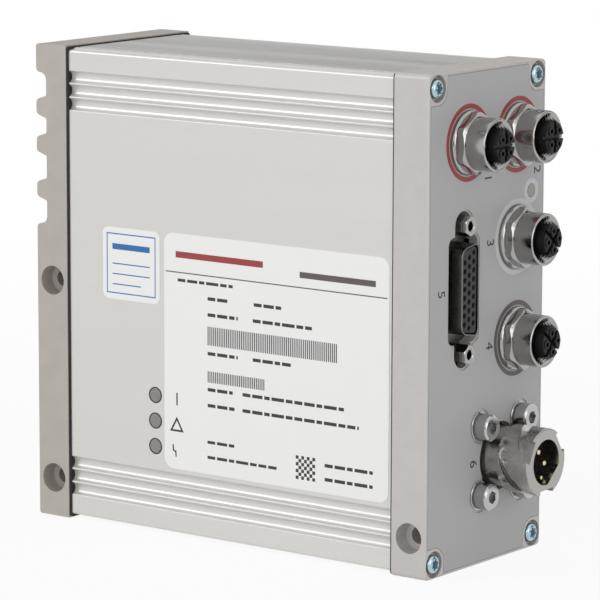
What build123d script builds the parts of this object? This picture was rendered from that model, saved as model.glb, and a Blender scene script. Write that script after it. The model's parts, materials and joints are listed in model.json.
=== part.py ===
"""Electronic drive unit of a turbomolecular vacuum pump.

An extruded aluminium tube is closed by a finned end plate at -X and by a connector cap at +X.
It hangs on the pump by three long screws that pass through the end pieces along Y.
Label side faces -Y, pump side faces +Y, connectors face +X, and the unit stands on z = 0.
The origin is the centre of the overall footprint. All sizes are in millimetres.
"""

import os

from build123d import *

os.makedirs("parts", exist_ok=True)

# ---- Overall box -----------------------------------------------------------------------
LENGTH = 130.0  # finned plate's outer face to the connector face
DEPTH = 53.0  # label side to pump side
HEIGHT = 130.0
PLATE_T = 10.5
CAP_T = 10.8
PLATE_GASKET_T = 0.7
CAP_GASKET_T = 0.5
GASKET_INSET = 0.3  # gasket edge inside the outline of the end pieces
TUBE_INSET = 0.6  # tube faces inside the outline of the end pieces

# ---- Finned end plate ------------------------------------------------------------------
FIN_TOP_LAND = 7.7  # plain land above the finned field
FIN_FIELD_H = 41.3
FIN_FIELD_DEPTH = 3.5
FIN_DROPS = (17.1, 27.3, 39.6)  # fins below the plate's top
FIN_ROOT = 6.2
FIN_FLANK_ANGLE = 72.0
FIN_ROUND = 1.3
FIN_ROOT_ROUND = 0.6
FIN_FIELD_ROUND = 2.3  # both ends of the finned field, as far as its depth lets it
FIN_FLAT = 0.05  # least flat between two rounds
PLATE_EDGE_ROUND = 0.7

# ---- Screws to the pump ----------------------------------------------------------------
MOUNT_BORE_R = 2.25
MOUNT_HEAD_R = 4.0
MOUNT_HEAD_DEPTH = 4.6
MOUNT_LOW = 10.6  # lower row above the base
MOUNT_PITCH = 55.0  # up to the second hole of the finned plate
PLATE_MOUNT_X = 5.25  # from the finned plate's outer face
CAP_MOUNT_X = 5.4  # behind the connector face

# ---- Extruded tube ---------------------------------------------------------------------
WALL = 3.2
TUBE_CORNER_R = 0.8
STRIP_W = 4.8  # lowered strip along each long edge of the top and bottom
STRIP_DROP = 0.45
SCALLOP_FIRST = 8.35  # first scallop's centre from the end pieces' top or bottom
SCALLOP_PITCH = 3.7
SCALLOP_COUNT = 3
SCALLOP_W = 3.2
SCALLOP_DEPTH = 1.35
SCALLOP_ROUND = 0.3
PORT_R = 3.2  # screw port in each corner of the tube
GUIDE_T = 1.2  # card guide ribs
GUIDE_H = 3.0
GUIDE_GAP = 0.2

# ---- Case screws -----------------------------------------------------------------------
SCREW_EDGE = 3.8  # screw axis from both edges of the end piece
SCREW_R = 1.75
SCREW_GRIP = 10.0  # length of screw inside the tube
SCREW_FIT = 0.1
SCREW_HEAD_R = 2.85
SCREW_HEAD_H = 2.3
SCREW_SEAT_R = 3.5
SCREW_SEAT_DEPTH = 1.9
PLATE_SEAT_DEPTH = 2.6  # deeper in the plate, so that no head stands proud
SCREW_DOME = 0.7

# ---- Connector cap and its film --------------------------------------------------------
CAP_WALL = 3.0
CAP_SIDE = 4.0  # side wall round the cap's pocket
CAP_POST = 7.6  # corner posts for the case screws
CAP_FLOOR = 15.6  # solid foot that holds the mounting bore
CAP_CORNER_R = 1.4
CAP_EDGE_ROUND = 0.5
FILM_T = 0.35
FILM_EDGE = 0.75  # rim of bare metal round the film
FILM_LAND = 8.0  # bare corner lands round the case screws
FILM_LAND_R = 4.0
FILM_GAP = 0.12

# ---- Round data sockets, internally threaded M12 ---------------------------------------
SOCKET_BACK = 12.9  # rear column's axis from the pump side
SOCKET_COLUMN_PITCH = 22.5
SOCKET_TOP = 18.7  # top row's axis below the cap's top
SOCKET_LOW = 57.7  # lowest row's axis above the base
SOCKET_TURN = 5.0  # contacts of the lower sockets, in degrees from the pump side
SOCKET_TOP_TURN = 45.0
SOCKET_FLANGE_R = 8.3
SOCKET_FLANGE_T = 1.3
SOCKET_FLANGE_CHAMFER = 0.45
SOCKET_HEX_AF = 14.6
SOCKET_HEX_R = 8.05  # corners of the hexagon are turned down to this
SOCKET_HEX_T = 2.4
SOCKET_BARREL_R = 6.85
SOCKET_REACH = 9.3
SOCKET_BORE_R = 5.5
SOCKET_BORE_DEPTH = 8.6
SOCKET_RIM_CHAMFER = 0.35
SOCKET_SHANK_R = 6.6
SOCKET_SHANK_TAIL = 5.0  # thread that stands behind the cap's wall
SOCKET_HOLE_GAP = 0.2
SOCKET_NUT_AF = 16.0
SOCKET_NUT_T = 2.6
SOCKET_SEAL_T = 0.4
SOCKET_SEAL_W = 1.2
INSERT_R = 4.15
INSERT_COLLAR_R = 5.2
INSERT_COLLAR_T = 1.6
INSERT_PROUD = 2.4
INSERT_GAP = 0.15
CONTACT_COUNT = 4
CONTACT_CIRCLE_R = 2.5
CONTACT_HOLE_R = 0.62
CONTACT_R = 0.45
CONTACT_SINK = 1.0
CROSS_W = 1.0
CROSS_DEPTH = 1.0
KEY_W = 0.9
KEY_DEPTH = 0.7

# ---- 26-way remote connector -----------------------------------------------------------
REMOTE_FRONT = 16.1  # axis from the label side
REMOTE_RISE = 8.5  # axis above mid height
REMOTE_SCREW_PITCH = 33.3
REMOTE_SHELL_L = 24.7
REMOTE_SHELL_W = 7.9
REMOTE_SHELL_T = 0.5
REMOTE_SHELL_R = 2.2
REMOTE_SLANT = 10.0  # slant of the D's short sides in degrees
REMOTE_REACH = 6.0  # shroud above its own flange
REMOTE_FLANGE_L = 39.1
REMOTE_FLANGE_W = 12.5
REMOTE_FLANGE_T = 0.8
REMOTE_FLANGE_R = 1.5
REMOTE_BACK_L = 27.1  # insulator behind the flange
REMOTE_BACK_W = 10.5
REMOTE_PAD_T = 0.9  # pad inside the cap that the flange rests on
REMOTE_FIT = 0.2
REMOTE_WINDOW_L = 27.9  # window in the connector face that clears the shroud
REMOTE_WINDOW_W = 13.0
REMOTE_WINDOW_R = 2.2
REMOTE_LOBE_R = 3.7  # slot that clears the jackscrews
REMOTE_BARE = 0.5  # metal left bare round the window
REMOTE_BLOCK_SINK = 0.3
REMOTE_PIN_PITCH = 2.29
REMOTE_ROW_PITCH = 1.98
REMOTE_ROW_COUNTS = (9, 9, 8)  # from the pump side
REMOTE_FIRST_PIN = 4.25  # pitches from the axis to the first pin of the first row
REMOTE_STAGGER = 0.5  # pitches from one row to the next
REMOTE_PIN_HOLE_R = 0.6
REMOTE_PIN_HOLE_DEPTH = 3.0
REMOTE_TAIL_W = 0.6
JACK_AF = 4.75
JACK_H = 6.0
JACK_BORE_R = 1.25
JACK_SHANK_R = 1.4
JACK_SHANK_L = 4.0

# ---- Direct current inlet with a three-ramp bayonet ------------------------------------
INLET_BACK = 19.7  # axis from the pump side
INLET_Z = 27.5
INLET_REACH = 14.6
INLET_BASE_R = 7.9
INLET_NOSE_R = 8.9
INLET_NOSE_L = 9.6
INLET_BORE_R = 6.0
INLET_FLANGE = 23.5
INLET_FLANGE_T = 2.4
INLET_FLANGE_R = 3.0
INLET_HOLE_GAP = 0.2
INLET_RAMP_COUNT = 3
INLET_RAMP_W = 2.3
INLET_RAMP_DEPTH = 1.5
INLET_RAMP_TURN = 112.0  # degrees that each ramp winds round the nose
INLET_RAMP_TRAVEL = 6.0
INLET_RAMP_START = 2.4  # ramp's centre line behind the nose's front at the entry
INLET_ENTRY_ANGLE = 153.0  # first entry notch, from +Y towards +Z
INLET_ENTRY_W = 6.0
INLET_DETENT_R = 1.9
INLET_DETENT_SINK = 0.4
INLET_NOSE_ROUND = 0.35
INLET_SEAL_T = 0.8
INLET_BLOCK_FRONT = 6.5  # insulator's face behind the nose's front
INLET_FLAT = 5.0  # coding flat, from the axis
INLET_FLAT_ANGLE = -48.0
INLET_PIN_COUNT = 2
INLET_PIN_TURN = -20.0  # first pin, from +Y towards +Z
INLET_PIN_SPREAD = 119.0  # degrees from the first pin to the last
INLET_PIN_CIRCLE_R = 2.55
INLET_PIN_R = 0.75
INLET_PIN_TIP = 1.9  # pin tips behind the nose's front
INLET_PIN_ROUND = 0.35
PIN_FIT = 0.12
CUT_MARGIN = 0.2  # how far a cutter passes the face that it opens
INLET_EARTH_Z = -4.55
INLET_EARTH_Y = 1.1
INLET_EARTH_R = 0.6
INLET_SCREW_PITCH = 18.3
INLET_SCREW_R = 2.0
INLET_SCREW_HEAD_R = 3.5
INLET_SCREW_HEAD_H = 4.0
INLET_SCREW_SOCKET_AF = 3.0
INLET_SCREW_SOCKET_DEPTH = 2.0
INLET_WASHER_R = 3.9
INLET_WASHER_T = 0.5
INLET_WASHER_BARE = 0.7  # metal left bare round each washer

# ---- Status lights ---------------------------------------------------------------------
LIGHT_X = 40.8  # from the finned plate's outer face
LIGHT_LOW = 23.9
LIGHT_PITCH = 7.0
LIGHT_COUNT = 3
LIGHT_R = 2.0
LIGHT_GAP = 0.12
LIGHT_SINK = 0.35
LIGHT_FLANGE_R = 2.9
LIGHT_FLANGE_T = 1.0
LED_SIZE = 2.4
LED_H = 0.9
LED_GAP = 0.3
PANEL_LIGHT_BACK = 6.3  # axis from the pump side
PANEL_LIGHT_DROP = 2.0  # axis below the middle of the two upper rows of sockets
PANEL_LIGHT_R = 1.7
PANEL_LIGHT_FLANGE_R = 2.2

# ---- Circuit boards and what they carry ------------------------------------------------
BOARD_T = 1.6
BOARD_CLEAR = 0.3
POWER_STANDOFF = 9.1  # from the tube's rear wall to the power board
CONTROL_STANDOFF = 6.7  # from the tube's front wall to the control board
LINK_X = 14.6  # connector board's front face behind the connector face
PLATE_CLEAR = 1.5
CAPACITOR_R = 8.0
CAPACITOR_H = 20.0
CAPACITOR_PITCH = 18.0
CAPACITOR_COUNT = 4
CAPACITOR_ROUND = 0.8
CAPACITOR_X = 80.0  # from the finned plate's outer face
CAPACITOR_Z = 65.0
CHOKE_R = 12.0
CHOKE_BORE_R = 6.0
CHOKE_H = 11.0
CHOKE_WIRE = 1.3
CHOKE_TURN_COUNT = 12
CHOKE_GAP = 0.2
CHOKE_X = 42.0  # from the finned plate's outer face
CHOKE_Z = 92.0
TRANSISTOR_W = 10.2
TRANSISTOR_L = 15.2
TRANSISTOR_T = 4.5
TRANSISTOR_COUNT = 6
TRANSISTOR_PITCH = 14.0
TRANSISTOR_LEAD_W = 0.8
TRANSISTOR_LEAD_L = 7.0
TRANSISTOR_LEAD_PITCH = 2.54
PAD_T = 0.4
PAD_MARGIN = 1.5
CLAMP_T = 1.5
CLAMP_W = 7.0
CLAMP_SCREW_R = 1.5
CLAMP_SCREW_GRIP = 4.0
CLAMP_END = 7.0
CHIP_T = 1.4
CHIP_X = 62.0  # from the finned plate's outer face
CHIP_Z = 66.0
CHIP_SIZE = 14.0
CHIP_PITCH = 18.0
CHIP_SMALL_L = 8.0
CHIP_SMALL_W = 5.5
HEADER_W = 5.0
HEADER_L = 26.0
HEADER_Z = 72.0
HEADER_DEPTH = 6.0
LINK_HEADER_X = 42.0  # from the finned plate's outer face
LINK_HEADER_Z = 60.0
SPACER_AF = 4.5
SPACER_FRONT = 8.0  # front spacers' axes from the label side
SPACER_BACK = 9.5  # rear spacer's axis from the pump side
SPACER_CLEAR = 4.1  # spacer axis above the flange below it
SPACER_FLOOR = 6.4  # lowest spacer above the cap's solid foot

# ---- Motor connector on the pump side --------------------------------------------------
MOTOR_X = 64.0  # from the finned plate's outer face
MOTOR_Z = 65.0
MOTOR_NOSE_R = 10.0
MOTOR_BORE_R = 8.6
MOTOR_FLANGE_R = 14.5
MOTOR_FLANGE_T = 2.0
MOTOR_SINK = 0.4  # nose below the mating plane
MOTOR_GAP = 0.2
MOTOR_SEAL_BORE_R = 11.4
MOTOR_SEAL_R = 13.4
MOTOR_SEAL_DEPTH = 1.2
MOTOR_BLOCK_SINK = 1.2
MOTOR_PIN_CIRCLE_R = 5.4
MOTOR_PIN_COUNT = 8
MOTOR_PIN_R = 0.8
MOTOR_PIN_SINK = 1.0
MOTOR_SCREW_CIRCLE_R = 12.3
MOTOR_SCREW_R = 1.0
MOTOR_SCREW_COUNT = 4
MOTOR_SCREW_TURN = 45.0
MOTOR_SCREW_HEAD_R = 1.8
MOTOR_SCREW_HEAD_H = 1.3
MOTOR_SCREW_GRIP = 1.4

# ---- Places worked out from the sizes above --------------------------------------------
X_LEFT = -(LENGTH + INLET_REACH) / 2
X_PLATE = X_LEFT + PLATE_T
X_TUBE = X_PLATE + PLATE_GASKET_T
X_PANEL = X_LEFT + LENGTH
X_CAP = X_PANEL - CAP_T
X_TUBE_END = X_CAP - CAP_GASKET_T
X_POCKET = X_PANEL - CAP_WALL
X_FILM = X_PANEL - FILM_T
Y_FRONT = -DEPTH / 2
Y_BACK = DEPTH / 2
Z_MID = HEIGHT / 2
NEAR = 0.01  # two places closer than this are the same

TUBE_D = DEPTH - 2 * TUBE_INSET
TUBE_H = HEIGHT - 2 * TUBE_INSET
TUBE_L = X_TUBE_END - X_TUBE
ROOM_D = TUBE_D - 2 * WALL
ROOM_H = TUBE_H - 2 * (WALL + STRIP_DROP)
TUBE_FRONT = Y_FRONT + TUBE_INSET
TUBE_BACK = Y_BACK - TUBE_INSET
SCREW_SPAN_Y = DEPTH - 2 * SCREW_EDGE
SCREW_SPAN_Z = HEIGHT - 2 * SCREW_EDGE

FIN_FIELD_HIGH = HEIGHT - FIN_TOP_LAND
FIN_FIELD_LOW = FIN_FIELD_HIGH - FIN_FIELD_H
FIN_HEIGHTS = [HEIGHT - drop for drop in FIN_DROPS]

SOCKET_Y = Y_BACK - SOCKET_BACK
SOCKET_ROWS = (
    HEIGHT - SOCKET_TOP,
    (HEIGHT - SOCKET_TOP + SOCKET_LOW) / 2,
    SOCKET_LOW,
)
SOCKETS = (
    ("1", SOCKET_Y - SOCKET_COLUMN_PITCH, SOCKET_ROWS[0], SOCKET_TOP_TURN),
    ("2", SOCKET_Y, SOCKET_ROWS[0], SOCKET_TOP_TURN),
    ("3", SOCKET_Y, SOCKET_ROWS[1], SOCKET_TURN),
    ("4", SOCKET_Y, SOCKET_ROWS[2], SOCKET_TURN),
)
REMOTE_Y = Y_FRONT + REMOTE_FRONT
REMOTE_Z = Z_MID + REMOTE_RISE
INLET_Y = Y_BACK - INLET_BACK
PANEL_LIGHT_Y = Y_BACK - PANEL_LIGHT_BACK
PANEL_LIGHT_Z = (SOCKET_ROWS[0] + SOCKET_ROWS[1]) / 2 - PANEL_LIGHT_DROP
X_SOCKET = X_FILM + SOCKET_SEAL_T  # back of a socket's flange
X_SOCKET_RIM = X_PANEL + SOCKET_REACH
X_SOCKET_TAIL = X_POCKET - SOCKET_SHANK_TAIL
X_SOCKET_FLOOR = X_SOCKET_RIM - SOCKET_BORE_DEPTH
X_LINK = X_PANEL - LINK_X
X_NOSE = X_PANEL + INLET_REACH
X_REMOTE = X_POCKET - REMOTE_PAD_T  # front of the remote connector's flange
X_INLET_BLOCK = X_NOSE - INLET_BLOCK_FRONT
X_INLET_FLANGE = X_POCKET - INLET_SEAL_T
BOARD_H = ROOM_H - 2 * BOARD_CLEAR
X_BOARD_END = X_LINK - BOARD_T - BOARD_CLEAR
TUBE_INNER_FRONT = TUBE_FRONT + WALL
TUBE_INNER_BACK = TUBE_BACK - WALL
CONTROL_Y = TUBE_INNER_FRONT + CONTROL_STANDOFF  # front face of the control board
Y_CONTROL_BACK = CONTROL_Y + BOARD_T
Y_POWER_BACK = TUBE_INNER_BACK - POWER_STANDOFF
POWER_Y = Y_POWER_BACK - BOARD_T  # front face of the power board
LED_FRONT = CONTROL_Y - LED_H
MOTOR_X_POS = X_LEFT + MOTOR_X
LIGHT_X_POS = X_LEFT + LIGHT_X
TRANSISTOR_Y = POWER_Y - TRANSISTOR_LEAD_L - TRANSISTOR_L / 2
X_TRANSISTOR = X_PLATE + PAD_T
TRANSISTOR_ROW = [
    Z_MID + (i - (TRANSISTOR_COUNT - 1) / 2) * TRANSISTOR_PITCH for i in range(TRANSISTOR_COUNT)
]
TRANSISTOR_SPAN = (TRANSISTOR_COUNT - 1) * TRANSISTOR_PITCH + TRANSISTOR_W
CLAMP_SPAN = TRANSISTOR_SPAN + 2 * CLAMP_END
CLAMP_SCREW_PITCH = TRANSISTOR_SPAN + CLAMP_END
X_CLAMP = X_TRANSISTOR + TRANSISTOR_T
X_CLAMP_HEAD = X_CLAMP + CLAMP_T + SCREW_HEAD_H
SPACER_PLACES = (
    (Y_FRONT + SPACER_FRONT, REMOTE_Z + REMOTE_FLANGE_L / 2 + SPACER_CLEAR),
    (SOCKET_Y - SOCKET_COLUMN_PITCH / 2, REMOTE_Z + REMOTE_FLANGE_L / 2 + SPACER_CLEAR),
    (Y_FRONT + SPACER_FRONT, CAP_FLOOR + SPACER_FLOOR),
    (Y_BACK - SPACER_BACK, INLET_Z + INLET_FLANGE / 2 + SPACER_CLEAR),
)


def across(x, y=0.0, z=0.0):
    """Plane that faces +X, with Y to its right and Z up."""
    return Plane(origin=(x, y, z), x_dir=(0, 1, 0), z_dir=(1, 0, 0))


def facing_back(y, x=0.0, z=0.0):
    """Plane that faces +Y, with -X to its right and Z up."""
    return Plane(origin=(x, y, z), x_dir=(-1, 0, 0), z_dir=(0, 1, 0))


def facing_front(y, x=0.0, z=0.0):
    """Plane that faces -Y, with X to its right and Z up."""
    return Plane(origin=(x, y, z), x_dir=(1, 0, 0), z_dir=(0, -1, 0))


def finish(piece, name):
    """Label the finished piece and write it as its own node."""
    piece.part.label = name
    export_step(piece.part, f"parts/{name}.step")


def case_screw_places():
    """The four corner screws, seen from +X."""
    return GridLocations(SCREW_SPAN_Y, SCREW_SPAN_Z, 2, 2)


def inlet_screw_places():
    """Four screws at the corners of the inlet's flange, about its axis."""
    return GridLocations(INLET_SCREW_PITCH, INLET_SCREW_PITCH, 2, 2)


def remote_screw_places():
    """The two jackscrews, about the remote connector's axis."""
    return GridLocations(0, REMOTE_SCREW_PITCH, 1, 2)


def motor_screw_places():
    """The screws of the motor connector's flange, about its axis."""
    return PolarLocations(MOTOR_SCREW_CIRCLE_R, MOTOR_SCREW_COUNT, start_angle=MOTOR_SCREW_TURN)


def inlet_pin_places():
    """The supply pins, about the inlet's axis."""
    return PolarLocations(
        INLET_PIN_CIRCLE_R,
        INLET_PIN_COUNT,
        start_angle=INLET_PIN_TURN,
        angular_range=INLET_PIN_SPREAD,
        endpoint=True,
    )


def contact_places(turn):
    """The contacts of a round data socket, about its axis."""
    return PolarLocations(CONTACT_CIRCLE_R, CONTACT_COUNT, start_angle=turn)


def dee_outline(grow):
    """Rounded D of the remote connector, grown on all sides, with the wide side to the right."""
    length = REMOTE_SHELL_L + 2 * grow
    width = REMOTE_SHELL_W + 2 * grow
    Trapezoid(length, width, 90 - REMOTE_SLANT, rotation=90)
    fillet(vertices(), REMOTE_SHELL_R + grow)


def mount_seats():
    """Places of the counterbored mounting bores, opening towards -Y: two in the plate, one in the cap."""
    plate_x = X_LEFT + PLATE_MOUNT_X
    plate = [facing_front(Y_FRONT, plate_x, MOUNT_LOW + i * MOUNT_PITCH) for i in range(2)]
    return plate, facing_front(Y_FRONT, X_PANEL - CAP_MOUNT_X, MOUNT_LOW)


# ---- Finned end plate: an extrusion along Y ---------------------------------------------
PLATE_MOUNTS, CAP_MOUNT = mount_seats()

with BuildPart() as heat_sink_plate:
    with BuildSketch(facing_front(0)):
        with Locations((X_LEFT + PLATE_T / 2, Z_MID)):
            Rectangle(PLATE_T, HEIGHT)
        with Locations((X_LEFT, (FIN_FIELD_LOW + FIN_FIELD_HIGH) / 2)):
            Rectangle(2 * FIN_FIELD_DEPTH, FIN_FIELD_HIGH - FIN_FIELD_LOW, mode=Mode.SUBTRACT)
        with Locations(*[(X_LEFT + FIN_FIELD_DEPTH / 2, z) for z in FIN_HEIGHTS]):
            Trapezoid(FIN_ROOT, FIN_FIELD_DEPTH, FIN_FLANK_ANGLE, rotation=90)
        fin_tips = vertices().group_by(Axis.X)[0].sort_by(Axis.Y)[1:-1]
        fillet(fin_tips, FIN_ROUND)
        floor_x = X_LEFT + FIN_FIELD_DEPTH
        fin_roots = vertices().filter_by(lambda corner: abs(corner.X - floor_x) < NEAR)
        fillet(fin_roots.sort_by(Axis.Y)[1:-1], FIN_ROOT_ROUND)
        field_ends = vertices().filter_by(lambda corner: abs(corner.X - floor_x) < NEAR).sort_by(Axis.Y)
        end_wall = FIN_FIELD_DEPTH - FIN_ROUND - FIN_FLAT
        fillet([field_ends[0], field_ends[-1]], min(FIN_FIELD_ROUND, end_wall))
    extrude(amount=DEPTH / 2, both=True)
    outer_edges = heat_sink_plate.edges().filter_by(Axis.Y).group_by(Axis.X)[0].sort_by(Axis.Z)
    fillet([outer_edges[0], outer_edges[-1]], PLATE_EDGE_ROUND)
    with Locations(*PLATE_MOUNTS):
        CounterBoreHole(MOUNT_BORE_R, MOUNT_HEAD_R, MOUNT_HEAD_DEPTH)
    with Locations(Plane(origin=(X_LEFT, 0, Z_MID), x_dir=(0, -1, 0), z_dir=(-1, 0, 0))):
        with case_screw_places():
            CounterBoreHole(SCREW_R + SCREW_FIT, SCREW_SEAT_R, PLATE_SEAT_DEPTH)
    with BuildSketch(across(X_PLATE, TRANSISTOR_Y, Z_MID)):
        with GridLocations(0, CLAMP_SCREW_PITCH, 1, 2):
            Circle(CLAMP_SCREW_R + SCREW_FIT)
    extrude(amount=-CLAMP_SCREW_GRIP - SCREW_FIT, mode=Mode.SUBTRACT)
finish(heat_sink_plate, "heat_sink_plate")


# ---- Gaskets at both ends of the tube ---------------------------------------------------
def gasket(x, thickness):
    """Flat frame that seals one end of the tube, with a hole for each case screw."""
    with BuildPart() as ring:
        with BuildSketch(across(x, 0, Z_MID)):
            RectangleRounded(DEPTH - 2 * GASKET_INSET, HEIGHT - 2 * GASKET_INSET, TUBE_CORNER_R)
            Rectangle(ROOM_D, ROOM_H, mode=Mode.SUBTRACT)
            with case_screw_places():
                Circle(PORT_R)
                Circle(SCREW_R + SCREW_FIT, mode=Mode.SUBTRACT)
        extrude(amount=thickness)
    return ring


plate_gasket = gasket(X_PLATE, PLATE_GASKET_T)
finish(plate_gasket, "plate_gasket")
cap_gasket = gasket(X_TUBE_END, CAP_GASKET_T)
finish(cap_gasket, "cap_gasket")

# ---- Extruded tube ---------------------------------------------------------------------
SCALLOP_R = ((SCALLOP_W / 2) ** 2 + SCALLOP_DEPTH**2) / (2 * SCALLOP_DEPTH)
SCALLOP_ROWS = [HEIGHT / 2 - SCALLOP_FIRST - i * SCALLOP_PITCH for i in range(SCALLOP_COUNT)]
SCALLOP_Y = TUBE_D / 2 + SCALLOP_R - SCALLOP_DEPTH

with BuildPart() as housing_tube:
    with BuildSketch(across(X_TUBE, 0, Z_MID)):
        Rectangle(TUBE_D, TUBE_H - 2 * STRIP_DROP)
        Rectangle(TUBE_D - 2 * STRIP_W, TUBE_H)
        Rectangle(ROOM_D, ROOM_H, mode=Mode.SUBTRACT)
        with case_screw_places():
            Circle(PORT_R)
        for board_y in (CONTROL_Y + BOARD_T / 2, POWER_Y + BOARD_T / 2):
            rib_y = BOARD_T / 2 + GUIDE_GAP + GUIDE_T / 2
            for y in (board_y - rib_y, board_y + rib_y):
                with GridLocations(0, ROOM_H - GUIDE_H, 1, 2):
                    with Locations((y, 0)):
                        Rectangle(GUIDE_T, GUIDE_H)
        for side in (-1, 1):
            for row in SCALLOP_ROWS:
                with Locations((side * SCALLOP_Y, row), (side * SCALLOP_Y, -row)):
                    Circle(SCALLOP_R, mode=Mode.SUBTRACT)
        with case_screw_places():
            Circle(SCREW_R + SCREW_FIT, mode=Mode.SUBTRACT)
    extrude(amount=TUBE_L)
    sides = housing_tube.edges().filter_by(Axis.X)
    outline = sides.filter_by(lambda edge: abs(edge.center().Y) > TUBE_D / 2 - NEAR)
    cusps = outline.filter_by(lambda edge: abs(edge.center().Z - Z_MID) < TUBE_H / 2 - TUBE_CORNER_R)
    corners = outline.filter_by(lambda edge: abs(edge.center().Z - Z_MID) > TUBE_H / 2 - TUBE_CORNER_R)
    fillet(cusps, SCALLOP_ROUND)
    fillet(corners, TUBE_CORNER_R)
    with Locations(
        *[
            facing_front(TUBE_FRONT, LIGHT_X_POS, LIGHT_LOW + i * LIGHT_PITCH)
            for i in range(LIGHT_COUNT)
        ]
    ):
        Hole(LIGHT_R + LIGHT_GAP, depth=2 * WALL)
    with BuildSketch(facing_back(TUBE_BACK, MOTOR_X_POS, MOTOR_Z)):
        Circle(MOTOR_SEAL_R + MOTOR_GAP)
    extrude(amount=-MOTOR_SEAL_DEPTH, mode=Mode.SUBTRACT)
    with BuildSketch(facing_back(TUBE_BACK, MOTOR_X_POS, MOTOR_Z)):
        Circle(MOTOR_NOSE_R + MOTOR_GAP)
    extrude(amount=-2 * WALL, mode=Mode.SUBTRACT)
    with BuildSketch(facing_back(TUBE_INNER_BACK, MOTOR_X_POS, MOTOR_Z)):
        with motor_screw_places():
            Circle(MOTOR_SCREW_R + SCREW_FIT)
    extrude(amount=MOTOR_SCREW_GRIP + SCREW_FIT, mode=Mode.SUBTRACT)
finish(housing_tube, "housing_tube")

# ---- Connector cap ---------------------------------------------------------------------


def film_outline(shrink):
    """Outline of the film's shallow recess, with a bare land left round each corner screw."""
    width = DEPTH - 2 * (FILM_EDGE + shrink)
    height = HEIGHT - 2 * (FILM_EDGE + shrink)
    land = FILM_LAND - FILM_EDGE
    Rectangle(width, height)
    with GridLocations(width, height, 2, 2):
        Rectangle(2 * land, 2 * land, mode=Mode.SUBTRACT)
    inner = vertices().filter_by(
        lambda corner: abs(abs(corner.X) - (width / 2 - land)) < NEAR
        and abs(abs(corner.Y) - (height / 2 - land)) < NEAR
    )
    fillet(inner, FILM_LAND_R)


def panel_holes(socket_r, inlet_screw_r, grow):
    """Holes in the connector face: those of the sockets and inlet screws as given, the window grown."""
    for _, y, z, _ in SOCKETS:
        with Locations((y, z)):
            Circle(socket_r)
    with Locations((INLET_Y, INLET_Z)):
        Circle(INLET_NOSE_R + INLET_HOLE_GAP)
        with inlet_screw_places():
            Circle(inlet_screw_r)
    with Locations((PANEL_LIGHT_Y, PANEL_LIGHT_Z)):
        Circle(PANEL_LIGHT_R + LIGHT_GAP)
    with Locations((REMOTE_Y, REMOTE_Z)):
        RectangleRounded(
            REMOTE_WINDOW_W + 2 * grow, REMOTE_WINDOW_L + 2 * grow, REMOTE_WINDOW_R + grow
        )
        SlotCenterToCenter(REMOTE_SCREW_PITCH, 2 * (REMOTE_LOBE_R + grow), rotation=90)


with BuildPart() as connector_cap:
    with BuildSketch(across(X_CAP, 0, Z_MID)):
        RectangleRounded(DEPTH, HEIGHT, CAP_CORNER_R)
    extrude(amount=CAP_T)
    fillet(connector_cap.faces().sort_by(Axis.X)[-1].edges(), CAP_EDGE_ROUND)
    with BuildSketch(across(X_CAP, 0, Z_MID)):
        pocket_top = HEIGHT - CAP_SIDE
        with Locations((0, (CAP_FLOOR + pocket_top) / 2 - Z_MID)):
            Rectangle(DEPTH - 2 * CAP_SIDE, pocket_top - CAP_FLOOR)
        with GridLocations(DEPTH, HEIGHT, 2, 2):
            Rectangle(2 * CAP_POST, 2 * CAP_POST, mode=Mode.SUBTRACT)
    extrude(amount=CAP_T - CAP_WALL, mode=Mode.SUBTRACT)
    with BuildSketch(across(X_FILM, 0, Z_MID)):
        film_outline(0)
    extrude(amount=FILM_T, mode=Mode.SUBTRACT)
    with Locations(across(X_PANEL, 0, Z_MID)):
        with case_screw_places():
            CounterBoreHole(SCREW_R + SCREW_FIT, SCREW_SEAT_R, SCREW_SEAT_DEPTH)
    with Locations(CAP_MOUNT):
        CounterBoreHole(MOUNT_BORE_R, MOUNT_HEAD_R, MOUNT_HEAD_DEPTH)
    with BuildSketch(across(X_REMOTE, REMOTE_Y, REMOTE_Z)):
        Rectangle(REMOTE_FLANGE_W + 2 * REMOTE_FIT, REMOTE_FLANGE_L + 2 * REMOTE_FIT)
    extrude(amount=REMOTE_PAD_T)
    with BuildSketch(across(X_REMOTE)):
        panel_holes(SOCKET_SHANK_R + SOCKET_HOLE_GAP, INLET_SCREW_R + SCREW_FIT, 0)
    extrude(amount=X_PANEL - X_REMOTE, mode=Mode.SUBTRACT)
finish(connector_cap, "connector_cap")

with BuildPart() as panel_overlay:
    with BuildSketch(across(X_FILM, 0, Z_MID)):
        film_outline(FILM_GAP)
    extrude(amount=FILM_T)
    with BuildSketch(across(X_FILM)):
        panel_holes(SOCKET_FLANGE_R + FILM_GAP, INLET_WASHER_R + INLET_WASHER_BARE, REMOTE_BARE)
    extrude(amount=FILM_T, mode=Mode.SUBTRACT)
finish(panel_overlay, "panel_overlay")


# ---- Case screws -----------------------------------------------------------------------
def case_screws(seat, inward, reach):
    """Four domed screws whose heads rest on the plane x = seat and whose tips point inward."""
    with BuildPart() as screws:
        with BuildSketch(across(seat, 0, Z_MID)):
            with case_screw_places():
                Circle(SCREW_HEAD_R)
        extrude(amount=-inward * SCREW_HEAD_H)
        crown = screws.faces().filter_by(Axis.X).sort_by(Axis.X, reverse=inward < 0)[:4]
        fillet([edge for face in crown for edge in face.edges()], SCREW_DOME)
        with BuildSketch(across(seat, 0, Z_MID)):
            with case_screw_places():
                Circle(SCREW_R)
        extrude(amount=inward * reach)
    return screws


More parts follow.
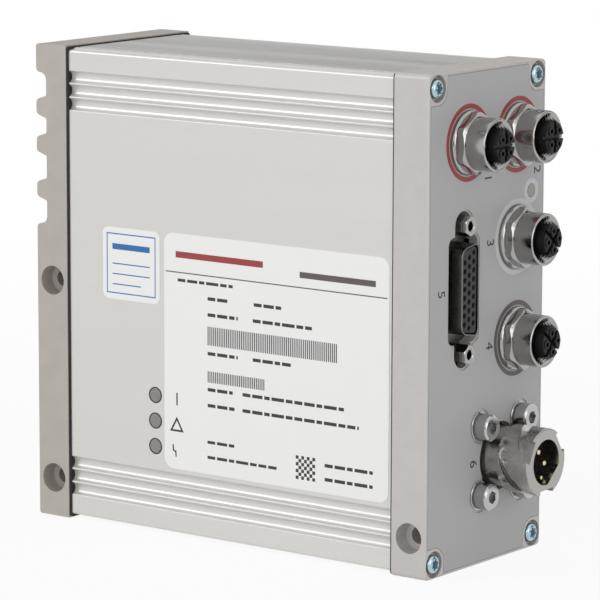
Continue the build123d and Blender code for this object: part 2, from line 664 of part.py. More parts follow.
cap_screws = case_screws(
    X_PANEL - SCREW_SEAT_DEPTH, -1, CAP_T - SCREW_SEAT_DEPTH + CAP_GASKET_T + SCREW_GRIP
)
finish(cap_screws, "cap_screws")
plate_screws = case_screws(
    X_LEFT + PLATE_SEAT_DEPTH, 1, PLATE_T - PLATE_SEAT_DEPTH + PLATE_GASKET_T + SCREW_GRIP
)
finish(plate_screws, "plate_screws")

# ---- Round data sockets ----------------------------------------------------------------
for socket, y, z, turn in SOCKETS:
    with BuildPart() as m12_shell:
        with BuildSketch(across(X_SOCKET, y, z)):
            Circle(SOCKET_FLANGE_R)
        extrude(amount=SOCKET_FLANGE_T)
        flange_edge = m12_shell.edges().group_by(Axis.X)[-1]
        chamfer(flange_edge, SOCKET_FLANGE_CHAMFER)
        with BuildSketch(across(X_SOCKET + SOCKET_FLANGE_T, y, z)):
            RegularPolygon(SOCKET_HEX_AF / 2, 6, major_radius=False, rotation=30)
            Circle(SOCKET_HEX_R, mode=Mode.INTERSECT)
        extrude(amount=SOCKET_HEX_T)
        with BuildSketch(across(X_SOCKET, y, z)):
            Circle(SOCKET_BARREL_R)
        extrude(amount=X_SOCKET_RIM - X_SOCKET)
        with BuildSketch(across(X_SOCKET_TAIL, y, z)):
            Circle(SOCKET_SHANK_R)
        extrude(amount=X_SOCKET - X_SOCKET_TAIL)
        with BuildSketch(across(X_SOCKET_TAIL, y, z)):
            Circle(INSERT_R + INSERT_GAP)
        extrude(amount=X_SOCKET_RIM - X_SOCKET_TAIL, mode=Mode.SUBTRACT)
        with BuildSketch(across(X_SOCKET_FLOOR, y, z)):
            Circle(SOCKET_BORE_R)
        extrude(amount=SOCKET_BORE_DEPTH, mode=Mode.SUBTRACT)
        rim = m12_shell.faces().filter_by(Axis.X).sort_by(Axis.X)[-1]
        chamfer(rim.edges(), SOCKET_RIM_CHAMFER)
    finish(m12_shell, f"m12_shell_{socket}")

    with BuildPart() as m12_insert:
        with BuildSketch(across(X_SOCKET_TAIL, y, z)):
            Circle(INSERT_R)
        extrude(amount=X_SOCKET_RIM + INSERT_PROUD - X_SOCKET_TAIL)
        with BuildSketch(across(X_SOCKET_FLOOR, y, z)):
            Circle(INSERT_COLLAR_R)
        extrude(amount=INSERT_COLLAR_T)
        with BuildSketch(across(X_SOCKET_RIM + INSERT_PROUD - CROSS_DEPTH, y, z)):
            for angle in (45, 135):
                Rectangle(2 * INSERT_R, CROSS_W, rotation=turn + angle)
        extrude(amount=CROSS_DEPTH, mode=Mode.SUBTRACT)
        with BuildSketch(across(X_SOCKET_FLOOR + INSERT_COLLAR_T, y, z)):
            with PolarLocations(INSERT_R, 1, start_angle=turn - 45):
                Rectangle(2 * KEY_DEPTH, KEY_W)
        extrude(amount=SOCKET_BORE_DEPTH + INSERT_PROUD, mode=Mode.SUBTRACT)
        with BuildSketch(across(X_SOCKET_TAIL, y, z)):
            with contact_places(turn):
                Circle(CONTACT_HOLE_R)
        extrude(amount=X_SOCKET_RIM + INSERT_PROUD - X_SOCKET_TAIL, mode=Mode.SUBTRACT)
    finish(m12_insert, f"m12_insert_{socket}")

    with BuildPart() as m12_contacts:
        with BuildSketch(across(X_LINK, y, z)):
            with contact_places(turn):
                Circle(CONTACT_R)
        extrude(amount=X_SOCKET_RIM + INSERT_PROUD - CONTACT_SINK - X_LINK)
    finish(m12_contacts, f"m12_contacts_{socket}")

    with BuildPart() as m12_seal:
        with BuildSketch(across(X_FILM, y, z)):
            Circle(SOCKET_SHANK_R + SOCKET_SEAL_W)
            Circle(SOCKET_SHANK_R + SOCKET_HOLE_GAP, mode=Mode.SUBTRACT)
        extrude(amount=SOCKET_SEAL_T)
    finish(m12_seal, f"m12_seal_{socket}")

    with BuildPart() as m12_nut:
        with BuildSketch(across(X_POCKET, y, z)):
            RegularPolygon(SOCKET_NUT_AF / 2, 6, major_radius=False, rotation=30)
            Circle(SOCKET_SHANK_R + SCREW_FIT, mode=Mode.SUBTRACT)
        extrude(amount=-SOCKET_NUT_T)
    finish(m12_nut, f"m12_nut_{socket}")

# ---- Remote connector ------------------------------------------------------------------
REMOTE_PINS = [
    ((1 - row) * REMOTE_ROW_PITCH, (REMOTE_FIRST_PIN - row * REMOTE_STAGGER - i) * REMOTE_PIN_PITCH)
    for row, count in enumerate(REMOTE_ROW_COUNTS)
    for i in range(count)
]

with BuildPart() as remote_shell:
    with BuildSketch(across(X_REMOTE - REMOTE_FLANGE_T, REMOTE_Y, REMOTE_Z)):
        RectangleRounded(REMOTE_FLANGE_W, REMOTE_FLANGE_L, REMOTE_FLANGE_R)
        with remote_screw_places():
            Circle(JACK_SHANK_R + SCREW_FIT, mode=Mode.SUBTRACT)
    extrude(amount=REMOTE_FLANGE_T)
    with BuildSketch(across(X_REMOTE, REMOTE_Y, REMOTE_Z)):
        dee_outline(0)
    extrude(amount=REMOTE_REACH)
    with BuildSketch(across(X_REMOTE - REMOTE_FLANGE_T, REMOTE_Y, REMOTE_Z)):
        dee_outline(-REMOTE_SHELL_T)
    extrude(amount=REMOTE_REACH + REMOTE_FLANGE_T, mode=Mode.SUBTRACT)
finish(remote_shell, "remote_shell")

with BuildPart() as remote_block:
    with BuildSketch(across(X_REMOTE - REMOTE_FLANGE_T, REMOTE_Y, REMOTE_Z)):
        dee_outline(-REMOTE_SHELL_T - REMOTE_FIT)
    extrude(amount=REMOTE_REACH + REMOTE_FLANGE_T - REMOTE_BLOCK_SINK)
    with BuildSketch(across(X_REMOTE - REMOTE_FLANGE_T, REMOTE_Y, REMOTE_Z)):
        RectangleRounded(REMOTE_BACK_W, REMOTE_BACK_L, REMOTE_FLANGE_R)
    extrude(amount=-REMOTE_FLANGE_T)
    with BuildSketch(across(X_REMOTE + REMOTE_REACH - REMOTE_BLOCK_SINK, REMOTE_Y, REMOTE_Z)):
        with Locations(*REMOTE_PINS):
            Circle(REMOTE_PIN_HOLE_R)
    extrude(amount=-REMOTE_PIN_HOLE_DEPTH, mode=Mode.SUBTRACT)
finish(remote_block, "remote_block")

with BuildPart() as remote_tails:
    with BuildSketch(across(X_LINK, REMOTE_Y, REMOTE_Z)):
        with Locations(*REMOTE_PINS):
            Rectangle(REMOTE_TAIL_W, REMOTE_TAIL_W)
    extrude(amount=X_REMOTE - 2 * REMOTE_FLANGE_T - X_LINK)
finish(remote_tails, "remote_tails")

with BuildPart() as remote_jackscrews:
    with BuildSketch(across(X_REMOTE, REMOTE_Y, REMOTE_Z)):
        with remote_screw_places():
            RegularPolygon(JACK_AF / 2, 6, major_radius=False)
    extrude(amount=JACK_H)
    with BuildSketch(across(X_REMOTE, REMOTE_Y, REMOTE_Z)):
        with remote_screw_places():
            Circle(JACK_SHANK_R)
    extrude(amount=-JACK_SHANK_L)
    with BuildSketch(across(X_REMOTE + JACK_H, REMOTE_Y, REMOTE_Z)):
        with remote_screw_places():
            Circle(JACK_BORE_R)
    extrude(amount=-JACK_H, mode=Mode.SUBTRACT)
finish(remote_jackscrews, "remote_jackscrews")

# ---- Direct current inlet --------------------------------------------------------------
INLET_RAMP_R = INLET_NOSE_R - INLET_RAMP_DEPTH / 2
INLET_PITCH = INLET_RAMP_TRAVEL * 360 / INLET_RAMP_TURN
INLET_ANGLES = [INLET_ENTRY_ANGLE + i * 360 / INLET_RAMP_COUNT for i in range(INLET_RAMP_COUNT)]

# Cutter of one cam ramp, made about the X axis with its entry at the bottom.
with BuildPart() as ramp_cutter:
    with BuildLine():
        ramp_path = Helix(
            pitch=INLET_PITCH,
            height=INLET_RAMP_TRAVEL,
            radius=INLET_RAMP_R,
            center=(X_NOSE - INLET_RAMP_START, 0, 0),
            direction=(-1, 0, 0),
        )
    with BuildSketch(Plane(origin=ramp_path @ 0, x_dir=(0, 0, 1), z_dir=ramp_path % 0)):
        Rectangle(INLET_RAMP_DEPTH + CUT_MARGIN, INLET_RAMP_W)
    sweep(is_frenet=True)
    with BuildSketch(across(X_NOSE - INLET_RAMP_START - INLET_RAMP_W / 2)):
        with Locations((0, -INLET_RAMP_R)):
            Rectangle(INLET_ENTRY_W, INLET_RAMP_DEPTH + CUT_MARGIN)
    extrude(amount=INLET_RAMP_START + INLET_RAMP_W)
    detent_turn = -90 - INLET_RAMP_TURN
    detent_x = X_NOSE - INLET_RAMP_START - INLET_RAMP_TRAVEL
    with BuildSketch(Plane(Location((detent_x, 0, 0), (detent_turn - 90, 0, 0)))):
        Circle(INLET_DETENT_R)
    extrude(amount=INLET_NOSE_R + CUT_MARGIN)
    with BuildSketch(across(detent_x - INLET_DETENT_R)):
        Circle(INLET_NOSE_R - INLET_RAMP_DEPTH - INLET_DETENT_SINK)
    extrude(amount=2 * INLET_DETENT_R, mode=Mode.SUBTRACT)

with BuildPart() as inlet_shell:
    with BuildSketch(across(X_INLET_FLANGE - INLET_FLANGE_T, INLET_Y, INLET_Z)):
        RectangleRounded(INLET_FLANGE, INLET_FLANGE, INLET_FLANGE_R)
    extrude(amount=INLET_FLANGE_T)
    with BuildSketch(across(X_INLET_FLANGE, INLET_Y, INLET_Z)):
        Circle(INLET_BASE_R)
    extrude(amount=X_NOSE - INLET_NOSE_L - X_INLET_FLANGE)
    with BuildSketch(across(X_NOSE - INLET_NOSE_L, INLET_Y, INLET_Z)):
        Circle(INLET_NOSE_R)
    extrude(amount=INLET_NOSE_L)
    fillet(inlet_shell.faces().sort_by(Axis.X)[-1].edges(), INLET_NOSE_ROUND)
    for angle in INLET_ANGLES:
        ramp = ramp_cutter.part.rotate(Axis.X, angle + 90)
        add(ramp.moved(Location((0, INLET_Y, INLET_Z))), mode=Mode.SUBTRACT)
    with BuildSketch(across(X_INLET_FLANGE - INLET_FLANGE_T, INLET_Y, INLET_Z)):
        Circle(INLET_BORE_R)
        with Locations(Rotation(0, 0, INLET_FLAT_ANGLE)):
            with Locations((INLET_FLAT + INLET_BORE_R / 2, 0)):
                Rectangle(INLET_BORE_R, 2 * INLET_BORE_R, mode=Mode.SUBTRACT)
    extrude(amount=X_NOSE - X_INLET_FLANGE + INLET_FLANGE_T, mode=Mode.SUBTRACT)
    with BuildSketch(across(X_INLET_FLANGE - INLET_FLANGE_T, INLET_Y, INLET_Z)):
        with inlet_screw_places():
            Circle(INLET_SCREW_R + SCREW_FIT)
    extrude(amount=INLET_FLANGE_T, mode=Mode.SUBTRACT)
finish(inlet_shell, "inlet_shell")

X_INLET_TAIL = X_INLET_FLANGE - INLET_FLANGE_T

with BuildPart() as inlet_block:
    with BuildSketch(across(X_INLET_TAIL, INLET_Y, INLET_Z)):
        Circle(INLET_BORE_R - INSERT_GAP)
        with Locations(Rotation(0, 0, INLET_FLAT_ANGLE)):
            with Locations((INLET_FLAT - INSERT_GAP + INLET_BORE_R / 2, 0)):
                Rectangle(INLET_BORE_R, 2 * INLET_BORE_R, mode=Mode.SUBTRACT)
    extrude(amount=X_INLET_BLOCK - X_INLET_TAIL)
    with BuildSketch(across(X_INLET_TAIL, INLET_Y, INLET_Z)):
        with inlet_pin_places():
            Circle(INLET_PIN_R + PIN_FIT)
        with Locations((INLET_EARTH_Y, INLET_EARTH_Z)):
            Circle(INLET_EARTH_R + PIN_FIT)
    extrude(amount=X_INLET_BLOCK - X_INLET_TAIL, mode=Mode.SUBTRACT)
finish(inlet_block, "inlet_block")

with BuildPart() as inlet_pins:
    with BuildSketch(across(X_LINK, INLET_Y, INLET_Z)):
        with inlet_pin_places():
            Circle(INLET_PIN_R)
        with Locations((INLET_EARTH_Y, INLET_EARTH_Z)):
            Circle(INLET_EARTH_R)
    extrude(amount=X_NOSE - INLET_PIN_TIP - X_LINK)
    tips = inlet_pins.faces().filter_by(Axis.X).group_by(Axis.X)[-1]
    fillet([edge for tip in tips for edge in tip.edges()], INLET_PIN_ROUND)
finish(inlet_pins, "inlet_pins")

with BuildPart() as inlet_seal:
    with BuildSketch(across(X_INLET_FLANGE, INLET_Y, INLET_Z)):
        RectangleRounded(INLET_FLANGE, INLET_FLANGE, INLET_FLANGE_R)
        Circle(INLET_NOSE_R + INLET_HOLE_GAP, mode=Mode.SUBTRACT)
        with inlet_screw_places():
            Circle(INLET_SCREW_R + SCREW_FIT, mode=Mode.SUBTRACT)
    extrude(amount=INLET_SEAL_T)
finish(inlet_seal, "inlet_seal")

X_INLET_HEAD = X_FILM + INLET_WASHER_T
with BuildPart() as inlet_screws:
    with BuildSketch(across(X_INLET_HEAD, INLET_Y, INLET_Z)):
        with inlet_screw_places():
            Circle(INLET_SCREW_HEAD_R)
    extrude(amount=INLET_SCREW_HEAD_H)
    with BuildSketch(across(X_INLET_HEAD, INLET_Y, INLET_Z)):
        with inlet_screw_places():
            Circle(INLET_SCREW_R)
    extrude(amount=X_INLET_TAIL - X_INLET_HEAD)
    with BuildSketch(across(X_INLET_HEAD + INLET_SCREW_HEAD_H, INLET_Y, INLET_Z)):
        with inlet_screw_places():
            RegularPolygon(INLET_SCREW_SOCKET_AF / 2, 6, major_radius=False)
    extrude(amount=-INLET_SCREW_SOCKET_DEPTH, mode=Mode.SUBTRACT)
finish(inlet_screws, "inlet_screws")

with BuildPart() as inlet_washers:
    with BuildSketch(across(X_FILM, INLET_Y, INLET_Z)):
        with inlet_screw_places():
            Circle(INLET_WASHER_R)
            Circle(INLET_SCREW_R + SCREW_FIT, mode=Mode.SUBTRACT)
    extrude(amount=INLET_WASHER_T)
finish(inlet_washers, "inlet_washers")

# ---- Status lights ---------------------------------------------------------------------
LIGHT_Z_PLACES = [LIGHT_LOW + i * LIGHT_PITCH for i in range(LIGHT_COUNT)]

with BuildPart() as light_pipes:
    with BuildSketch(facing_front(LED_FRONT - LED_GAP, LIGHT_X_POS)):
        with Locations(*[(0, z) for z in LIGHT_Z_PLACES]):
            Circle(LIGHT_R)
    extrude(amount=LED_FRONT - LED_GAP - TUBE_FRONT - LIGHT_SINK)
    with BuildSketch(facing_front(TUBE_INNER_FRONT + LIGHT_FLANGE_T, LIGHT_X_POS)):
        with Locations(*[(0, z) for z in LIGHT_Z_PLACES]):
            Circle(LIGHT_FLANGE_R)
    extrude(amount=LIGHT_FLANGE_T)
finish(light_pipes, "light_pipes")

with BuildPart() as status_leds:
    with BuildSketch(facing_front(CONTROL_Y, LIGHT_X_POS)):
        with Locations(*[(0, z) for z in LIGHT_Z_PLACES]):
            Rectangle(LED_SIZE, LED_SIZE)
    extrude(amount=LED_H)
    with BuildSketch(across(X_LINK, PANEL_LIGHT_Y, PANEL_LIGHT_Z)):
        Rectangle(LED_SIZE, LED_SIZE)
    extrude(amount=LED_H)
finish(status_leds, "status_leds")

with BuildPart() as panel_light:
    with BuildSketch(across(X_LINK + LED_H + LED_GAP, PANEL_LIGHT_Y, PANEL_LIGHT_Z)):
        Circle(PANEL_LIGHT_R)
    extrude(amount=X_PANEL - X_LINK - LED_H - LED_GAP)
    with BuildSketch(across(X_POCKET, PANEL_LIGHT_Y, PANEL_LIGHT_Z)):
        Circle(PANEL_LIGHT_FLANGE_R)
    extrude(amount=-LIGHT_FLANGE_T)
finish(panel_light, "panel_light")


# ---- Circuit boards --------------------------------------------------------------------
def slot_board(y, start):
    """Board that slides along X into the tube's card guides, from x = start."""
    with BuildPart() as board:
        with BuildSketch(facing_back(y, (start + X_BOARD_END) / 2, Z_MID)):
            Rectangle(X_BOARD_END - start, BOARD_H)
        extrude(amount=BOARD_T)
    return board


power_board = slot_board(POWER_Y, X_PLATE + PLATE_CLEAR)
finish(power_board, "power_board")
control_board = slot_board(CONTROL_Y, X_CLAMP_HEAD + BOARD_CLEAR)
finish(control_board, "control_board")

with BuildPart() as connector_board:
    with BuildSketch(across(X_LINK - BOARD_T, 0, Z_MID)):
        Rectangle(ROOM_D - 2 * BOARD_CLEAR, ROOM_H - 2 * (GUIDE_H + BOARD_CLEAR))
    extrude(amount=BOARD_T)
finish(connector_board, "connector_board")

with BuildPart() as board_spacers:
    with BuildSketch(across(X_LINK)):
        with Locations(*SPACER_PLACES):
            RegularPolygon(SPACER_AF / 2, 6, major_radius=False)
    extrude(amount=X_POCKET - X_LINK)
finish(board_spacers, "board_spacers")

with BuildPart() as board_headers:
    with BuildSketch(across(X_LINK - BOARD_T, 0, HEADER_Z)):
        with Locations((Y_CONTROL_BACK + HEADER_W / 2, 0), (POWER_Y - HEADER_W / 2, 0)):
            Rectangle(HEADER_W, HEADER_L)
    extrude(amount=-HEADER_DEPTH)
finish(board_headers, "board_headers")

with BuildPart() as board_link:
    with BuildSketch(facing_back(Y_CONTROL_BACK, X_LEFT + LINK_HEADER_X, LINK_HEADER_Z)):
        Rectangle(HEADER_L, HEADER_W)
    extrude(amount=POWER_Y - Y_CONTROL_BACK)
finish(board_link, "board_link")

with BuildPart() as control_chips:
    with BuildSketch(facing_back(Y_CONTROL_BACK, X_LEFT + CHIP_X, CHIP_Z)):
        Rectangle(CHIP_SIZE, CHIP_SIZE)
        with Locations((0, CHIP_PITCH), (0, -CHIP_PITCH)):
            Rectangle(CHIP_SMALL_L, CHIP_SMALL_W)
    extrude(amount=CHIP_T)
finish(control_chips, "control_chips")

# ---- Power parts -----------------------------------------------------------------------
with BuildPart() as bus_capacitors:
    with BuildSketch(facing_front(POWER_Y, X_LEFT + CAPACITOR_X, CAPACITOR_Z)):
        with GridLocations(0, CAPACITOR_PITCH, 1, CAPACITOR_COUNT):
            Circle(CAPACITOR_R)
    extrude(amount=CAPACITOR_H)
    can_ends = bus_capacitors.faces().filter_by(Axis.Y).group_by(Axis.Y)[0]
    fillet([edge for end in can_ends for edge in end.edges()], CAPACITOR_ROUND)
finish(bus_capacitors, "bus_capacitors")

CHOKE_X_POS = X_LEFT + CHOKE_X
Y_CHOKE = POWER_Y - CHOKE_GAP - CHOKE_WIRE
with BuildPart() as choke_core:
    with BuildSketch(facing_front(Y_CHOKE - CHOKE_GAP, CHOKE_X_POS, CHOKE_Z)):
        Circle(CHOKE_R)
        Circle(CHOKE_BORE_R, mode=Mode.SUBTRACT)
    extrude(amount=CHOKE_H)
finish(choke_core, "choke_core")

with BuildPart() as choke_winding:
    middle = (CHOKE_R + CHOKE_BORE_R) / 2
    inside_l = CHOKE_R - CHOKE_BORE_R + 2 * CHOKE_GAP
    inside_h = CHOKE_H + 2 * CHOKE_GAP
    Y_COIL = Y_CHOKE - CHOKE_GAP - CHOKE_H / 2
    with Locations(facing_front(Y_COIL, CHOKE_X_POS, CHOKE_Z)):
        with PolarLocations(middle, CHOKE_TURN_COUNT):
            Box(inside_l + 2 * CHOKE_WIRE, CHOKE_WIRE, inside_h + 2 * CHOKE_WIRE)
            Box(inside_l, CHOKE_WIRE, inside_h, mode=Mode.SUBTRACT)
finish(choke_winding, "choke_winding")

with BuildPart() as thermal_pad:
    with BuildSketch(across(X_PLATE, TRANSISTOR_Y, Z_MID)):
        Rectangle(TRANSISTOR_L + 2 * PAD_MARGIN, TRANSISTOR_SPAN + 2 * PAD_MARGIN)
    extrude(amount=PAD_T)
finish(thermal_pad, "thermal_pad")

with BuildPart() as power_transistors:
    with BuildSketch(across(X_TRANSISTOR, TRANSISTOR_Y)):
        with Locations(*[(0, z) for z in TRANSISTOR_ROW]):
            Rectangle(TRANSISTOR_L, TRANSISTOR_W)
    extrude(amount=TRANSISTOR_T)
    with BuildSketch(facing_back(TRANSISTOR_Y + TRANSISTOR_L / 2, X_TRANSISTOR + TRANSISTOR_T / 2)):
        for z in TRANSISTOR_ROW:
            with Locations((0, z)):
                with GridLocations(0, TRANSISTOR_LEAD_PITCH, 1, 3):
                    Rectangle(TRANSISTOR_LEAD_W, TRANSISTOR_LEAD_W)
    extrude(amount=TRANSISTOR_LEAD_L)
finish(power_transistors, "power_transistors")

with BuildPart() as clamp_bar:
    with BuildSketch(across(X_CLAMP, TRANSISTOR_Y, Z_MID)):
        Rectangle(CLAMP_W, CLAMP_SPAN)
        with GridLocations(0, CLAMP_SCREW_PITCH, 1, 2):
            Circle(CLAMP_SCREW_R + SCREW_FIT, mode=Mode.SUBTRACT)
    extrude(amount=CLAMP_T)
finish(clamp_bar, "clamp_bar")

with BuildPart() as clamp_screws:
    with BuildSketch(across(X_CLAMP + CLAMP_T, TRANSISTOR_Y, Z_MID)):
        with GridLocations(0, CLAMP_SCREW_PITCH, 1, 2):
            Circle(SCREW_HEAD_R)
    extrude(amount=SCREW_HEAD_H)
    with BuildSketch(across(X_PLATE - CLAMP_SCREW_GRIP, TRANSISTOR_Y, Z_MID)):
        with GridLocations(0, CLAMP_SCREW_PITCH, 1, 2):
            Circle(CLAMP_SCREW_R)
    extrude(amount=X_CLAMP + CLAMP_T - X_PLATE + CLAMP_SCREW_GRIP)
finish(clamp_screws, "clamp_screws")

# ---- Motor connector on the pump side --------------------------------------------------
Y_MOTOR_FLANGE = TUBE_INNER_BACK - MOTOR_FLANGE_T
Y_MOTOR_NOSE = Y_BACK - MOTOR_SINK
Y_MOTOR_BLOCK = Y_MOTOR_NOSE - MOTOR_BLOCK_SINK

with BuildPart() as motor_shell:
    with BuildSketch(facing_back(Y_MOTOR_FLANGE, MOTOR_X_POS, MOTOR_Z)):
        Circle(MOTOR_FLANGE_R)
        with motor_screw_places():
            Circle(MOTOR_SCREW_R + SCREW_FIT, mode=Mode.SUBTRACT)
    extrude(amount=MOTOR_FLANGE_T)
    with BuildSketch(facing_back(Y_MOTOR_FLANGE, MOTOR_X_POS, MOTOR_Z)):
        Circle(MOTOR_NOSE_R)
    extrude(amount=Y_MOTOR_NOSE - Y_MOTOR_FLANGE)
    with BuildSketch(facing_back(Y_MOTOR_FLANGE, MOTOR_X_POS, MOTOR_Z)):
        Circle(MOTOR_BORE_R)
    extrude(amount=Y_MOTOR_NOSE - Y_MOTOR_FLANGE, mode=Mode.SUBTRACT)
finish(motor_shell, "motor_shell")

with BuildPart() as motor_block:
    with BuildSketch(facing_back(Y_MOTOR_FLANGE, MOTOR_X_POS, MOTOR_Z)):
        Circle(MOTOR_BORE_R - INSERT_GAP)
        with PolarLocations(MOTOR_PIN_CIRCLE_R, MOTOR_PIN_COUNT):
            Circle(MOTOR_PIN_R + PIN_FIT, mode=Mode.SUBTRACT)
    extrude(amount=Y_MOTOR_BLOCK - Y_MOTOR_FLANGE)
finish(motor_block, "motor_block")

with BuildPart() as motor_contacts:
    with BuildSketch(facing_back(Y_POWER_BACK, MOTOR_X_POS, MOTOR_Z)):
        with PolarLocations(MOTOR_PIN_CIRCLE_R, MOTOR_PIN_COUNT):
            Circle(MOTOR_PIN_R)
    extrude(amount=Y_MOTOR_BLOCK - MOTOR_PIN_SINK - Y_POWER_BACK)
finish(motor_contacts, "motor_contacts")

with BuildPart() as motor_seal:
    with BuildSketch(facing_back(TUBE_BACK - MOTOR_SEAL_DEPTH, MOTOR_X_POS, MOTOR_Z)):
        Circle(MOTOR_SEAL_R)
        Circle(MOTOR_SEAL_BORE_R, mode=Mode.SUBTRACT)
    extrude(amount=MOTOR_SEAL_DEPTH + TUBE_INSET)
finish(motor_seal, "motor_seal")

with BuildPart() as motor_screws:
    with BuildSketch(facing_back(Y_MOTOR_FLANGE, MOTOR_X_POS, MOTOR_Z)):
        with motor_screw_places():
            Circle(MOTOR_SCREW_HEAD_R)
    extrude(amount=-MOTOR_SCREW_HEAD_H)
    with BuildSketch(facing_back(Y_MOTOR_FLANGE, MOTOR_X_POS, MOTOR_Z)):
        with motor_screw_places():
            Circle(MOTOR_SCREW_R)
    extrude(amount=MOTOR_FLANGE_T + MOTOR_SCREW_GRIP)
finish(motor_screws, "motor_screws")
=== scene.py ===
"""Looks of a turbomolecular pump's electronic drive unit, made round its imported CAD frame.

Bench pieces are modelled standing on z = 0 with their front up, then placed on the side of the
unit that they belong to. Sizes are in metres; sizes that are written in millimetres carry MM.
"""

import json
import math

import bpy
from bpy.props import FloatProperty, FloatVectorProperty, PointerProperty
from mathutils import Matrix, Vector

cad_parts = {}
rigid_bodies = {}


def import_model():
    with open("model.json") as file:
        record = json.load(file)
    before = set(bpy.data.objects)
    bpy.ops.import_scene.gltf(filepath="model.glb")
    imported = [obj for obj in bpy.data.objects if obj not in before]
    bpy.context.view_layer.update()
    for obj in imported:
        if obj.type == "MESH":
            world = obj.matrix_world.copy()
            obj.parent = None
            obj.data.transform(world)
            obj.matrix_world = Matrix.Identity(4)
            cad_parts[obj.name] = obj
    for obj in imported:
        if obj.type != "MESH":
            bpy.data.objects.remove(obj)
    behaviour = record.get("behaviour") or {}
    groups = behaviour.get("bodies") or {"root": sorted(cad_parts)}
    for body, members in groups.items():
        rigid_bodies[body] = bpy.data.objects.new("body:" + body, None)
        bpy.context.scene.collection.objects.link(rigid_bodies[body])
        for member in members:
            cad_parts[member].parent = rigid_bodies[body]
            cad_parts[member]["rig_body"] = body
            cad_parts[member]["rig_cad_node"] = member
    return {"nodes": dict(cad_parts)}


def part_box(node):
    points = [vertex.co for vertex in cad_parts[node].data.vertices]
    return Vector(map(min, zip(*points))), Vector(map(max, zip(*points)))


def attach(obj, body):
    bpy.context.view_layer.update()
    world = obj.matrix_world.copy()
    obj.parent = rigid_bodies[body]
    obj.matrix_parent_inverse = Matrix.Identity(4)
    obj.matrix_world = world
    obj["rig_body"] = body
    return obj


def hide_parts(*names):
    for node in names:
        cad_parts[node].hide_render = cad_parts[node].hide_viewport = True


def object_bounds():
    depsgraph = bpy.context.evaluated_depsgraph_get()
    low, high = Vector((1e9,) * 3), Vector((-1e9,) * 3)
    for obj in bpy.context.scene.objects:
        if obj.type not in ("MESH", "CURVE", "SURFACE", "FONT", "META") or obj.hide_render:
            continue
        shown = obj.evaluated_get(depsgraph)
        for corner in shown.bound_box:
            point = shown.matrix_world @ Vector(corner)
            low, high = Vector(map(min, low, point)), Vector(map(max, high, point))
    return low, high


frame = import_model()

bl_info = {
    "name": "Pump drive unit",
    "version": (1, 0, 0),
    "blender": (4, 5, 0),
    "location": "3D View > Sidebar > Drive unit",
    "description": "Dresses the CAD frame of a vacuum pump's electronic drive unit",
    "category": "Object",
}

MM = 0.001
NEAR = 1e-6  # vertices closer than this are one
SPARE = 1 * MM  # how far a cutting tool reaches past its piece
ROUND_SIDES = 72  # sides of a turned piece
SHEET_STEPS = 8  # faces round a sheet's corner
DEE_STEPS = 10  # faces round a corner of the D outline
SMOOTH_ANGLE = 35  # degrees above which an edge stays sharp
FLAT_ANGLE = 0.5  # degrees under which neighbouring faces become one
NOISE_LOW, NOISE_HIGH = 0.3, 0.7  # most of a noise lies between these
CAPITAL_SHARE = 0.7  # height of a figure as a share of its font's size
SENSOR_WIDTH = 36  # millimetres across the camera's sensor
CLIP_START = 0.01  # metres before the camera from which things show

UNIT_LOW, UNIT_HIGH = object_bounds()
UNIT_MIDDLE = (UNIT_LOW + UNIT_HIGH) / 2
PANEL_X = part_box("panel_overlay")[1].x
FRONT_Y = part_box("housing_tube")[0].y
PLATE_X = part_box("heat_sink_plate")[0].x

# Each side's local right, local up and outward direction.
SIDES = {
    "connectors": ((0, 1, 0), (0, 0, 1), (1, 0, 0)),
    "fins": ((0, -1, 0), (0, 0, 1), (-1, 0, 0)),
    "label": ((1, 0, 0), (0, 0, 1), (0, -1, 0)),
}
READ_DOWN = math.radians(-90)  # figures on the connector face read downwards

# Labels and their plain fields: left, right, bottom and top, in millimetres from the finned plate's outer
# end and from the base.
RATING_LABEL = (44.0, 117.8, 18.6, 82.5)
NAME_BAR = (48.0, 77.2, 76.0, 77.7)
TITLE_BAR = (89.2, 113.5, 74.6, 76.2)
LABEL_RULE = (44.6, 117.2, 71.9, 72.2)
LABEL_ROWS = (
    (48.7, 67.2, 69.6, 70.4),
    (58.8, 65.5, 65.5, 66.4), (74.2, 84.0, 65.5, 66.4),
    (58.8, 68.9, 61.2, 62.1), (73.9, 93.2, 61.2, 62.1),
    (58.8, 68.9, 50.8, 51.7), (73.9, 86.4, 50.8, 51.7),
    (58.8, 67.2, 41.1, 42.0), (70.5, 103.6, 41.1, 42.0),
    (58.8, 68.2, 36.8, 37.7), (70.5, 108.4, 36.8, 37.7),
    (58.7, 68.2, 26.9, 27.7), (58.7, 81.8, 22.8, 23.6),
    (97.5, 112.9, 21.9, 22.8), (97.5, 112.9, 25.6, 26.5),
)
LABEL_BARS = ((58.8, 101.6, 53.5, 58.5), (58.8, 78.2, 43.5, 46.5))
SMALL_LABEL = (22.8, 42.5, 62.6, 82.2)
SMALL_LABEL_LINES = (
    (24.2, 41.1, 80.3, 80.6), (24.2, 41.1, 64.2, 64.5), (24.2, 24.5, 64.5, 80.3), (40.8, 41.1, 64.5, 80.3),
    (26.2, 39.1, 76.2, 77.8), (26.2, 39.1, 72.2, 72.5), (26.2, 39.1, 69.4, 69.7), (26.2, 36.0, 66.6, 66.9),
)
STATUS_BAR = (48.1, 48.55, 36.0, 39.4)
TRIANGLE_SPOT = (48.25, 30.2)
# Strokes of the zigzag: across, up, length and degrees.
ZIGZAG = ((47.0, 24.4, 1.7, 95), (47.45, 23.5, 1.2, -25), (47.9, 22.8, 1.7, 95))
CHECK_CORNER = (88.1, 21.3)
CHECK = 0.9  # side of one check
CHECKS = 7  # checks along each side
DASHES = (2.6, 3.4, 1.8, 4.1, 2.2)  # lengths that follow each other in a row
DASH_GAP = 0.6
SHORTEST_DASH = 0.5
BAR_STEP = 0.62  # from one upright bar to the next
